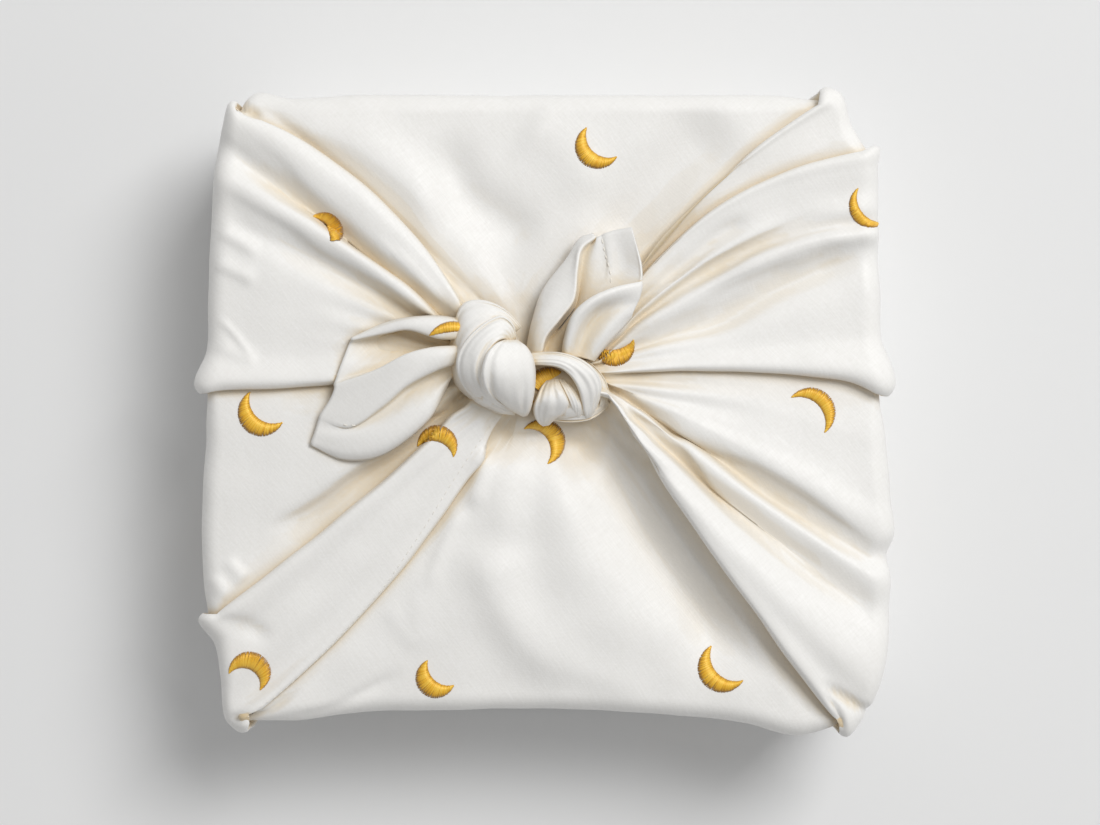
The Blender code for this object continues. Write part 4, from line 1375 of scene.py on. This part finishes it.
LEFT_END = (
    Line("outer lip", ((464, 321, 8), (440, 317.5, 8), (410, 319, 8), (385, 325, 7.4),
        (353, 339, 6))),
    Line("lip slope", ((464, 324, 11.5), (440, 320, 12), (410, 321, 11.6), (386, 327, 10.2),
        (353, 339.5, 7.8))),
    Line("lip crest", ((464, 331, 13.5), (440, 328, 14), (411, 325.5, 13), (387, 329.5, 11),
        (353, 340, 8.2))),
    Line("lip edge", ((464, 339, 13.2), (440, 339, 13.2), (411, 330.5, 12.5),
        (388, 333.5, 10.8), (353, 340.5, 8.4))),
    Line("under lip", ((464, 337, 10.5), (440, 336, 10), (411, 327.5, 9.4), (388, 331.5, 8.6),
        (352.5, 341.5, 7.4))),
    Line("mouth wall", ((464, 340, 6), (440, 337.5, 4), (411, 331, 3.6), (388, 336, 4.6),
        (350, 346, 6.8))),
    Line("mouth floor", ((464, 344, 5.5), (440, 344, 3.6), (411, 342, 3.2), (386, 348, 4.6),
        (346, 356, 7.2))),
    Line("mouth rise", ((464, 348, 6.5), (438, 350, 5), (410, 354, 5.6), (381, 362, 7),
        (341, 369, 7.6))),
    Line("behind fold", ((464, 350, 8), (436, 352, 7.4), (409, 357.5, 7.6), (378, 371, 7.4),
        (336.5, 382, 7.2))),
    Line("upper fold", ((464, 347.5, 13.8), (435, 349, 14.2), (408, 356, 14),
        (377, 371.5, 11.4), (336, 386, 7.8))),
    Line("strip upper", ((464, 350, 15.2), (435, 352.5, 15.6), (408, 359.5, 15),
        (377, 375.5, 12), (336, 390, 7.8))),
    Line("strip middle", ((464, 355, 15.5), (435, 361, 16), (408, 371, 15), (377, 389, 12),
        (331, 401, 7))),
    Line("lower fold", ((464, 361, 14.2), (436, 370.5, 14.6), (408, 385, 14.2),
        (383, 405.5, 12.4), (352, 424, 9.6), (322, 414, 6.4))),
    Line("under fold", ((464, 361.5, 11), (437, 371, 10.8), (409, 386, 11), (384, 407, 10.4),
        (351, 427, 8.8), (320, 420, 6))),
    Line("panel fold", ((463, 366, 9.6), (438, 376, 9.6), (411, 391.5, 9.8), (386, 412, 9.6),
        (350, 430, 8.6), (318, 426, 5.8))),
    Line("panel upper", ((461, 369, 9.2), (440.5, 381.5, 10.2), (416, 400, 11.4),
        (389, 424, 11.2), (349, 436, 9.2), (316, 433, 6))),
    Line("panel crest", ((458, 371, 9), (443, 387, 11.2), (424, 410, 12.2), (392, 437, 11.4),
        (349, 445, 9), (314, 438, 5.8))),
    Line("panel lower", ((455, 372, 8.6), (444.5, 390, 10), (428, 418, 10.8), (386, 448, 10),
        (347, 453, 8.2), (312.5, 442, 5.6))),
    Line("outline", ((452, 373, 7), (444, 394, 7.6), (425, 424, 8), (384, 454, 7.4),
        (346, 459, 6.4), (312, 444.5, 5.2))),
)

RIGHT_END = (
    Line("outline", ((526, 356, 7), (529.5, 338, 7), (534, 318, 7), (544, 290, 7),
        (567, 260, 7), (579, 241, 7), (593, 235.5, 8))),
    Line("edge", ((527.5, 356, 9), (530.5, 338, 9.6), (535.5, 318.5, 9.6), (546, 292, 9),
        (568, 262, 8.6), (580, 242.5, 8.4), (593.5, 236.5, 9))),
    Line("crest", ((533, 356, 12), (536, 338, 12.6), (543, 318, 12.8), (556, 294, 12),
        (571.5, 268, 10.6), (580, 247, 9.8), (594, 238, 9.8))),
    Line("lip shoulder", ((539, 356, 13), (543, 340, 14), (555, 323, 14.6), (570, 302, 14),
        (575, 272, 12.4), (580, 250, 10.8), (594.5, 238.5, 10))),
    Line("lip edge", ((541, 355, 13), (546, 337, 14), (560, 319, 14.8), (573.5, 300, 14),
        (576.5, 272, 12.6), (581, 251, 10.8), (595, 239, 10))),
    Line("under lip", ((541, 355, 10), (545.5, 338, 10), (559, 321, 10), (573, 301, 10),
        (577, 272, 10), (582, 252, 9.4), (595.5, 239.5, 9.4))),
    Line("trough", ((543, 355, 7), (549, 340, 5.6), (563, 324, 5.4), (577, 303, 6.4),
        (581, 272, 8), (586, 252, 8.4), (597, 240, 9))),
    Line("inner face 1", ((549, 355, 7.5), (556, 340, 7), (570, 321, 7.5), (585, 301, 9),
        (590, 270, 9.5), (597, 239, 10.2))),
    Line("hem inside", ((556, 355, 7.5), (563, 340, 7.5), (577, 318, 8), (596, 297, 10),
        (605, 268, 9.4), (601, 237, 10))),
    Line("hem ridge", ((560, 355, 7.5), (568, 340, 7.8), (583, 316, 8.4), (603, 295, 10.2),
        (609, 270, 9.9), (605, 235, 10.5))),
    Line("inner face 2", ((568, 355, 7.5), (577, 338, 8), (592, 314, 9), (615, 293, 11),
        (622, 268, 9.6), (615, 232, 10.6))),
    Line("rim inside", ((580, 355, 8), (592, 338, 8.5), (608, 314, 10), (632, 291, 12),
        (637, 268, 11.6), (627, 230, 11.4))),
    Line("rim", ((588, 357, 8), (602, 340, 8.5), (620, 314, 10), (638, 288, 12.6),
        (640, 268, 12.4), (631, 229.5, 11.6))),
)

RIGHT_LOBE = (
    Line("under lip", ((563, 357, 8), (566, 338, 11), (574, 317, 14), (590, 302, 14.5),
        (613, 292, 14), (640, 284.5, 12.5))),
    Line("lip edge", ((562, 357, 10), (565, 338, 13.5), (573, 316.5, 16.5), (589.5, 301, 17),
        (613, 290.5, 16), (641, 284, 13.5))),
    Line("lip crest", ((564.5, 357, 12), (568, 339, 15.5), (576.5, 318.5, 18),
        (592, 303.5, 18.4), (614, 293, 17), (641, 286, 14))),
    Line("lip inside", ((568, 357, 12), (572, 340, 14.5), (580.5, 321.5, 16),
        (594.5, 307, 16.5), (615, 297.5, 16), (640.5, 291, 14))),
    Line("hollow upper", ((573, 357.5, 10.5), (577, 341.5, 11.5), (585, 325, 12),
        (597, 311.5, 12.6), (616, 303, 13.6), (639, 298, 13.6))),
    Line("hollow", ((578, 358, 9.5), (583, 343.5, 10), (590, 329.5, 10.4), (600.5, 318, 11.2),
        (617, 309, 12.6), (637, 303, 13))),
    Line("lower rise", ((584, 359, 10), (589, 347, 11), (596, 335.5, 12), (605, 325, 12.6),
        (618, 315.5, 13), (634, 309, 12.6))),
    Line("lower crest", ((589, 360, 10), (594, 350, 11.4), (601, 340.5, 12.4),
        (609, 331, 12.8), (620, 321, 12.6), (631, 315, 12))),
    Line("outline", ((593, 361.5, 8), (598, 355, 9), (605, 346.5, 9.6), (613, 338, 9.8),
        (622, 328, 10), (630, 318, 10))),
)


@dataclass(frozen=True)
class FreeEnd:
    """One free end of the cloth: a thin sheet through its lengthwise lines."""

    name: str
    lines: tuple
    top: float
    steps_along: int = 46
    steps_between: int = 3
    thickness: float = 0.8

    def piece(self) -> bpy.types.Object:
        """The free end as a closed thin sheet.

        Returns:
            The sheet.
        """
        grid = []
        for line in self.lines:
            points = [(*PLAN.place(px, py), self.top + rise) for px, py, rise in line.points]
            grid.append(curve_through(points, self.steps_along))
        rows = np.swapaxes(np.array(grid), 0, 1)
        across = self.steps_between * (len(self.lines) - 1) + 1
        rows = np.array([curve_through(row, across) for row in rows])
        along = np.gradient(rows, axis=0)
        sideways = np.gradient(rows, axis=1)
        normals = unit(np.cross(along, sideways))
        upper = (rows + normals * self.thickness / 2).reshape(-1, 3)
        lower = (rows - normals * self.thickness / 2).reshape(-1, 3)
        under = len(upper)
        faces = grid_faces(self.steps_along, across, False)
        faces += [tuple(corner + under for corner in reversed(face)) for face in faces]
        rim = list(range(across))
        rim += [row * across + across - 1 for row in range(1, self.steps_along)]
        rim += [(self.steps_along - 1) * across + place for place in range(across - 2, -1, -1)]
        rim += [row * across for row in range(self.steps_along - 2, 0, -1)]
        for place, corner in enumerate(rim):
            beside = rim[(place + 1) % len(rim)]
            faces.append((beside, corner, corner + under, beside + under))
        piece = mesh_piece(self.name, np.vstack([upper, lower]), faces)
        turn_outwards(piece)
        return piece


# Sewing.


# A crescent moon: the side it is on, its two tips, how far its outer and inner curves bow
# from the line between the tips (to the right of the way from the first to the second),
# and the part of it that isn't hidden. Tips and bows on the top are in the photograph's
# pixels, and on the sides in millimetres.
Moon = namedtuple("Moon", "name face a_x a_y b_x b_y outer inner start end")

MOONS = (
    Moon("far flap", Face.TOP, 617, 157, 587, 128, -29, -13.5, 0, 1),
    Moon("left roll", Face.TOP, 313, 217, 331, 251, -22, -8, 0, 0.8),
    Moon("right rim", Face.TOP, 884, 222, 857, 189, -23.5, -13, 0.12, 1),
    Moon("left panel", Face.TOP, 284, 422, 251, 392, -31, -14, 0, 1),
    Moon("beside left end", Face.TOP, 418, 447, 454, 457, -27, -11, 0, 1),
    Moon("under the knot", Face.TOP, 524, 429, 547, 464, -31, -14, 0, 1),
    Moon("right panel", Face.TOP, 790, 398, 823, 433, -29, -15, 0, 1),
    Moon("left corner", Face.TOP, 230, 673, 260, 690, -32, -14, 0, 1),
    Moon("near flap left", Face.TOP, 454, 685, 428, 660, -27.5, -10, 0, 1),
    Moon("near flap right", Face.TOP, 743, 680, 712, 646, -31.5, -14.5, 0, 1),
    Moon("beside right end", Face.TOP, 633, 340, 594, 345, -24, -8, 0, 0.8),
    Moon("far side left", Face.FAR, 62, 28, 50, 40, -9.6, -4.5, 0, 1),
    Moon("far side right", Face.FAR, -40, 22, -54, 32, -9.6, -4.5, 0, 1),
    Moon("near side left", Face.NEAR, -58, 34, -44, 24, -9.6, -4.5, 0, 1),
    Moon("near side right", Face.NEAR, 40, 22, 56, 30, 9.6, 4.5, 0, 1),
    Moon("left side far", Face.LEFT, -60, 36, -48, 26, -9.6, -4.5, 0, 1),
    Moon("left side near", Face.LEFT, 34, 22, 50, 26, 9.6, 4.5, 0, 1),
    Moon("right side near", Face.RIGHT, -46, 24, -30, 30, 9.6, 4.5, 0, 1),
    Moon("right side far", Face.RIGHT, 58, 32, 70, 20, -9.6, -4.5, 0, 1),
)

END_MOONS = (
    Moon("left end lip", Face.TOP, 431, 337, 474, 332, -11.5, -1.5, 0, 1),
)

MOUTH_MOONS = (
    Moon("knot mouth", Face.TOP, 532, 404, 566, 377, -23, -2, 0, 1),
)


class Surface:
    """A cloth surface that stitches are laid on."""

    def __init__(self, pieces: list, reach_mm: float = 260.0) -> None:
        """Gathers the pieces' faces for casting rays at them.

        Args:
            pieces: Mesh objects at the origin.
            reach_mm: How far outside the parcel a ray starts.
        """
        points, faces = [], []
        for piece in pieces:
            first = len(points)
            points.extend(vertex.co.copy() for vertex in piece.data.vertices)
            for face in piece.data.polygons:
                faces.append([first + number for number in face.vertices])
        self.tree = BVHTree.FromPolygons(points, faces)
        self.reach = reach_mm

    def under(self, face: Face, across: float, up: float) -> tuple | None:
        """The cloth under a place on a side of the parcel.

        Args:
            face: The side that is looked at.
            across: The place along the side, in millimetres.
            up: The place along its other axis, in millimetres.

        Returns:
            The point in millimetres and its normal, or None where there is no cloth.
        """
        axis_a, axis_b, look = (np.array(axis, dtype=float) for axis in face.value)
        start = axis_a * across + axis_b * up + look * self.reach
        hit, normal, _, _ = self.tree.ray_cast(Vector(start * MM), Vector(-look))
        if hit is None:
            return None
        normal = np.array(normal)
        if normal @ look < 0:
            normal = -normal
        return np.array(hit) / MM, normal


def arc_point(a: np.ndarray, b: np.ndarray, bow: float, part: float) -> np.ndarray:
    """A point of the circular arc from one tip to the other.

    Args:
        a: The first tip.
        b: The second tip.
        bow: How far the arc's middle lies to the right of the straight line.
        part: The share of the way along the arc.

    Returns:
        The point.
    """
    chord = b - a
    half = np.linalg.norm(chord) / 2
    bow_size = max(abs(bow), 1e-3)
    radius = (half**2 + bow_size**2) / (2 * bow_size)
    forward = chord / (2 * half)
    right = np.array([forward[1], -forward[0]]) * np.sign(bow)
    centre = (a + b) / 2 + right * (bow_size - radius)
    reach = np.arctan2(half, radius - bow_size)
    angle = -reach + 2 * reach * part
    return centre + radius * (forward * sin(angle) + right * cos(angle))


@dataclass
class Yarn:
    """The mesh that threads are added to, with a tone for each point, painted shade included."""

    vertices: list = field(default_factory=list)
    faces: list = field(default_factory=list)
    tones: list = field(default_factory=list)


@dataclass(frozen=True)
class Embroidery:
    """Satin-stitched crescent moons: close parallel threads over a low padding."""

    thread: float = 0.4
    pitch: float = 0.3
    padding: float = 0.95
    full_width: float = 4.5
    overhang: float = 0.1
    unevenness: float = 0.16
    lean: float = 0.012
    tone_low: float = 0.42
    tone_spread: float = 0.34
    tone_least: float = 0.02
    # Painted shade: how much darker a thread is where it dips into the cloth and towards the
    # moon's outer side, and how much lighter its upper side is than its underside.
    end_shade: float = 0.42
    outer_shade: float = 0.38
    side_shade: float = 0.06
    sides: int = 5
    sections: int = 6
    seed: int = 11

    def piece(self, name: str, jobs: list) -> bpy.types.Object:
        """All the moons as one mesh.

        Args:
            name: The piece's name.
            jobs: Pairs of a surface and the moons that lie on it.

        Returns:
            The embroidery, with each point's tone, random tone and painted shade together, kept as
            an attribute.
        """
        yarn = Yarn()
        chance = Random(self.seed)
        for surface, moons in jobs:
            for moon in moons:
                self._moon(surface, moon, chance, yarn)
        piece = mesh_piece(name, yarn.vertices, yarn.faces)
        tone = piece.data.attributes.new("tone", "FLOAT", "POINT")
        tone.data.foreach_set("value", yarn.tones)
        return piece

    def _tips(self, moon: Moon) -> tuple:
        """The tips and bows of a moon in millimetres on its face.

        Args:
            moon: The moon.

        Returns:
            Its two tips, its outer bow and its inner bow.
        """
        a, b = (moon.a_x, moon.a_y), (moon.b_x, moon.b_y)
        scale = 1.0
        if moon.face is Face.TOP:
            a, b, scale = PLAN.place(*a), PLAN.place(*b), PLAN.mm_per_px
        return np.array(a, float), np.array(b, float), moon.outer * scale, moon.inner * scale

    def _moon(self, surface: Surface, moon: Moon, chance: Random, yarn: Yarn) -> None:
        """Adds one moon's threads.

        Args:
            surface: The cloth that it lies on.
            moon: The moon.
            chance: Where its unevenness comes from.
            yarn: The mesh that it is added to.
        """
        a, b, outer, inner = self._tips(moon)
        length = 1.25 * (np.linalg.norm(b - a) + abs(outer))
        count = int(length / self.pitch)
        for number in range(count):
            part = (number + 0.5) / count
            if not moon.start <= part <= moon.end:
                continue
            low = arc_point(a, b, inner, part)
            high = arc_point(a, b, outer, part)
            lean = self.lean * (chance.random() - 0.5)
            run = high - low
            wide = np.linalg.norm(run)
            way = run / max(wide, 0.3)
            low = low - way * (self.overhang + self.unevenness * (chance.random() - 0.5))
            high = arc_point(a, b, outer, min(1, max(0, part + lean)))
            high = high + way * (self.overhang + self.unevenness * (chance.random() - 0.5))
            tone = self.tone_low + self.tone_spread * chance.random()
            self._thread(surface, moon.face, (low, high, wide), tone, yarn)

    def _thread(
        self, surface: Surface, face: Face, span: tuple, tone: float, yarn: Yarn
    ) -> None:
        """Adds one thread from the inner edge of a moon to its outer edge.

        Args:
            surface: The cloth that it lies on.
            face: The side of the parcel.
            span: The thread's inner end, its outer end and the moon's width there.
            tone: How bright the thread is, from 0 to 1.
            yarn: The mesh that it is added to.
        """
        low, high, wide = span
        rows = []
        lift = min(1.0, wide / self.full_width)
        for section in range(self.sections):
            share = section / (self.sections - 1)
            found = surface.under(face, *(low + (high - low) * share))
            if found is None:
                return
            point, normal = found
            rise = (1 - abs(2 * share - 1) ** 2.4) * self.padding * lift
            rows.append((point + normal * (rise + 0.02), normal, share))
        run = rows[-1][0] - rows[0][0]
        size = np.linalg.norm(run)
        if size < 0.2 or size > 2.2 * max(wide, 0.5):
            return
        run /= size
        yarn.faces.extend(tube_faces(self.sections, self.sides, len(yarn.vertices)))
        for point, normal, share in rows:
            side = unit(np.cross(run, normal))
            end = min(share, 1 - share)
            radius = 0.5 * self.thread * (0.55 + 0.45 * min(1.0, end * 5))
            # Painted shade: darker where the thread dips into the cloth at its ends and towards
            # the moon's outer side; lighter on its upper side and darker on its underside.
            dip = 1.0 - min(1.0, end * 6)
            outer = smooth_step((share - 0.4) / 0.6)
            body = tone - self.end_shade * dip - self.outer_shade * outer
            for turn in range(self.sides):
                angle = tau * turn / self.sides
                place = point + radius * (side * cos(angle) + normal * sin(angle))
                yarn.vertices.append(place.tolist())
                yarn.tones.append(max(self.tone_least, body + self.side_shade * sin(angle)))


# A line of running stitches in the photograph's pixels, and its thread in millimetres.
SewnLine = namedtuple("SewnLine", "name line thread", defaults=(0.18,))

HEMS = (
    SewnLine(
        "near hem",
        ((497, 418), (478, 444), (460, 471), (444, 496), (427, 524), (407, 554), (387, 583))
        + ((367, 607), (342, 634), (319, 657), (299, 676), (282, 691), (259, 708), (244, 720)),
    ),
)

END_HEMS = (
    SewnLine("left end hem", ((344, 424.5), (352, 425.5), (364, 425)), 0.4),
    SewnLine("right end hem", ((601, 240), (604, 254), (608, 268), (610, 280), (609, 289)), 0.42),
)


@dataclass(frozen=True)
class HemSewing:
    """Small even running stitches along the hems."""

    stitch: float = 1.5
    gap: float = 1.1
    first_at: float = 0.4
    rise: float = 0.16
    sunk: float = 0.03
    sections: int = 5
    sides: int = 6

    def piece(self, name: str, jobs: list) -> bpy.types.Object:
        """All the hem stitches as one mesh.

        Args:
            name: The piece's name.
            jobs: Pairs of a surface and the sewn lines that lie on it.

        Returns:
            The stitches.
        """
        yarn = Yarn()
        for surface, hems in jobs:
            for hem in hems:
                self._line(surface, hem, yarn)
        return mesh_piece(name, yarn.vertices, yarn.faces)

    def _line(self, surface: Surface, hem: SewnLine, yarn: Yarn) -> None:
        """Adds the stitches of one line.

        Args:
            surface: The cloth that they lie on.
            hem: The line.
            yarn: The mesh that they are added to.
        """
        line = curve_through([PLAN.place(*pixel) for pixel in hem.line], 30 * len(hem.line))
        steps = np.hypot(*np.diff(line, axis=0).T)
        travelled = np.concatenate([[0.0], np.cumsum(steps)])
        start = self.first_at
        while start + self.stitch < travelled[-1]:
            places = np.linspace(start, start + self.stitch, self.sections)
            xs = np.interp(places, travelled, line[:, 0])
            ys = np.interp(places, travelled, line[:, 1])
            self._stitch(surface, np.stack([xs, ys], axis=1), hem.thread, yarn)
            start += self.stitch + self.gap

    def _stitch(self, surface: Surface, places: Rows, thread: float, yarn: Yarn) -> None:
        """Adds one stitch.

        Args:
            surface: The cloth that it lies on.
            places: Its places in plan, in millimetres.
            thread: The thread's thickness in millimetres.
            yarn: The mesh that it is added to.
        """
        rows = [surface.under(Face.TOP, x, y) for x, y in places]
        if any(row is None for row in rows):
            return
        run = rows[-1][0] - rows[0][0]
        size = np.linalg.norm(run)
        if size > 1.6 * self.stitch:
            return
        run /= size
        yarn.faces.extend(tube_faces(self.sections, self.sides, len(yarn.vertices)))
        for index, (point, normal) in enumerate(rows):
            share = index / (self.sections - 1)
            middle = point + normal * (self.rise * sin(pi * share) - self.sunk)
            radius = 0.5 * thread * (0.6 + 0.4 * sin(pi * share))
            side = unit(np.cross(run, normal))
            for turn in range(self.sides):
                angle = tau * turn / self.sides
                place = middle + radius * (side * cos(angle) + normal * sin(angle))
                yarn.vertices.append(place.tolist())


# How shut in each point of the cloth is, for the shade painted into its folds.


@dataclass(frozen=True)
class HollowShadeFinder:
    """Finds how shut in the cloth is at each point, for the painted shade, darker and creamier, in
    its deep folds.
    """

    reach: float = 24.0
    rays: int = 14
    tilt: float = 76.0
    steeper: float = 0.6
    lift: float = 0.35
    fall: float = 0.6

    def keep_on(self, piece: bpy.types.Object) -> None:
        """Stores the share of rays that soon meet other cloth as an attribute, which the cloth's
        material turns into painted shade.

        Args:
            piece: The cloth.
        """
        mesh = piece.data
        points = [vertex.co.copy() for vertex in mesh.vertices]
        faces = [list(face.vertices) for face in mesh.polygons]
        tree = BVHTree.FromPolygons(points, faces)
        shut = []
        for vertex in mesh.vertices:
            normal = vertex.normal
            side = normal.orthogonal().normalized()
            other = normal.cross(side)
            start = vertex.co + normal * (self.lift * MM)
            met = 0.0
            for ray in range(self.rays):
                turn = tau * ray / self.rays
                tilt = radians(self.tilt if ray % 2 else self.tilt * self.steeper)
                way = normal * cos(tilt) + (side * cos(turn) + other * sin(turn)) * sin(tilt)
                hit = tree.ray_cast(start, way, self.reach * MM)
                if hit[3] is not None:
                    met += 1.0 - self.fall * hit[3] / (self.reach * MM)
            shut.append(met / self.rays)
        layer = mesh.attributes.new("hollow", "FLOAT", "POINT")
        layer.data.foreach_set("value", shut)


# The studio.


@dataclass(frozen=True)
class Studio:
    """A pale floor, soft light from the upper right and a camera straight above."""

    camera_height: float = 1.2
    camera_y: float = -0.0002
    focus_height: float = 0.058
    photo_width: int = 1100
    sensor_mm: float = 36.0
    clip_end: float = 20.0
    floor_half: float = 1.5
    floor_level: float = -0.0002
    floor_colour: tuple = (0.78, 0.785, 0.79, 1.0)
    floor_roughness: float = 0.85
    world_colour: tuple = (1.0, 0.995, 0.985, 1.0)
    world_strength: float = 0.4
    key_place: tuple = (1.36, 1.49, 2.64)
    key_aim: tuple = (0.0, 0.0, 0.03)
    key_size: float = 1.6
    key_power: float = 79.5
    key_colour: tuple = (1.0, 0.995, 0.985)

    def camera(self) -> None:
        """Puts the camera above the middle of the photograph."""
        bpy.ops.object.select_all(action="DESELECT")
        across = (0.5 * self.photo_width - PLAN.middle_px) * PLAN.mm_per_px * MM
        place = (across, self.camera_y, self.camera_height)
        bpy.ops.object.camera_add(location=place, rotation=(0, 0, 0))
        camera = bpy.context.active_object
        distance = self.camera_height - self.focus_height
        camera.data.sensor_width = self.sensor_mm
        camera.data.lens = self.sensor_mm * distance / (self.photo_width * PLAN.mm_per_px * MM)
        camera.data.clip_end = self.clip_end
        bpy.context.scene.camera = camera

    def floor(self) -> None:
        """Lays the pale floor."""
        bpy.ops.object.select_all(action="DESELECT")
        place = (0, 0, self.floor_level)
        bpy.ops.mesh.primitive_plane_add(size=2 * self.floor_half, location=place)
        floor = bpy.context.active_object
        floor.name = "pale_floor"
        shader = Shader("pale_floor")
        shader.set({"Base Color": self.floor_colour, "Roughness": self.floor_roughness})
        floor.data.materials.append(shader.material)

    def key(self) -> None:
        """Adds the soft square light that looks at the parcel."""
        bpy.ops.object.select_all(action="DESELECT")
        bpy.ops.object.light_add(type="AREA", location=self.key_place)
        lamp = bpy.context.active_object
        lamp.name = "key"
        lamp.data.shape = "SQUARE"
        lamp.data.size = self.key_size
        lamp.data.energy = self.key_power
        lamp.data.color = self.key_colour
        look = Vector(self.key_aim) - Vector(self.key_place)
        lamp.rotation_euler = look.to_track_quat("-Z", "Y").to_euler()

    def surroundings(self) -> None:
        """Sets up the even light all round and how the picture shows its tones."""
        world = bpy.data.worlds.new("studio")
        world.use_nodes = True
        background = world.node_tree.nodes["Background"]
        background.inputs["Color"].default_value = self.world_colour
        background.inputs["Strength"].default_value = self.world_strength
        bpy.context.scene.world = world
        bpy.context.scene.view_settings.view_transform = "Standard"


def dress() -> None:
    """Builds and dresses every piece, and attaches the cloth, the moons and the stitches to the
    parcel's body.
    """
    box = WrappedBox()
    outside = box.outside()
    outside.data.shade_smooth()
    log.info("cloth over the box: %d faces", len(outside.data.polygons))
    inside = box.inside()
    knot = Knot(box.top).pieces()
    log.info("knot: %d bands and cores", len(knot))
    ends = [
        FreeEnd("left_end", LEFT_END, box.top).piece(),
        FreeEnd("right_end", RIGHT_END, box.top).piece(),
        FreeEnd("right_end_lobe", RIGHT_LOBE, box.top).piece(),
    ]
    log.info("free ends: %d sheets", len(ends))
    mouth = [piece for piece in knot if piece.name.startswith("knot_right_turn_mouth")]
    on_box, on_ends, in_mouth = Surface([outside]), Surface(ends), Surface(mouth)
    moons = Embroidery().piece(
        "moon_embroidery", [(on_box, MOONS), (on_ends, END_MOONS), (in_mouth, MOUTH_MOONS)]
    )
    moons.data.materials.append(GoldThread().material())
    moons.data.shade_smooth()
    log.info("embroidery: %d faces", len(moons.data.polygons))
    stitches = HemSewing().piece("hem_stitches", [(on_box, HEMS), (on_ends, END_HEMS)])
    stitches.data.materials.append(HemThread().material())
    stitches.data.shade_smooth()
    log.info("hem stitches: %d faces", len(stitches.data.polygons))
    flaps = [hidden_flap(flap, box.top) for flap in HIDDEN_FLAPS]
    select_only([outside, inside, *flaps, *knot, *ends])
    bpy.ops.object.join()
    cloth = outside
    cloth.name = "wrapping_cloth"
    cloth.data.shade_smooth()
    # Paints shade into the cloth's folds, from how shut in each point is.
    HollowShadeFinder().keep_on(cloth)
    cloth.data.materials.clear()
    cloth.data.materials.append(Sateen().material())
    log.info("whole cloth: %d faces", len(cloth.data.polygons))
    for piece in (cloth, moons, stitches):
        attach(piece, BODY)
    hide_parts(NODE)


def main() -> None:
    """Makes the whole scene."""
    studio = Studio()
    studio.camera()
    studio.floor()
    studio.surroundings()
    studio.key()
    dress()


if __name__ == "__main__":
    main()
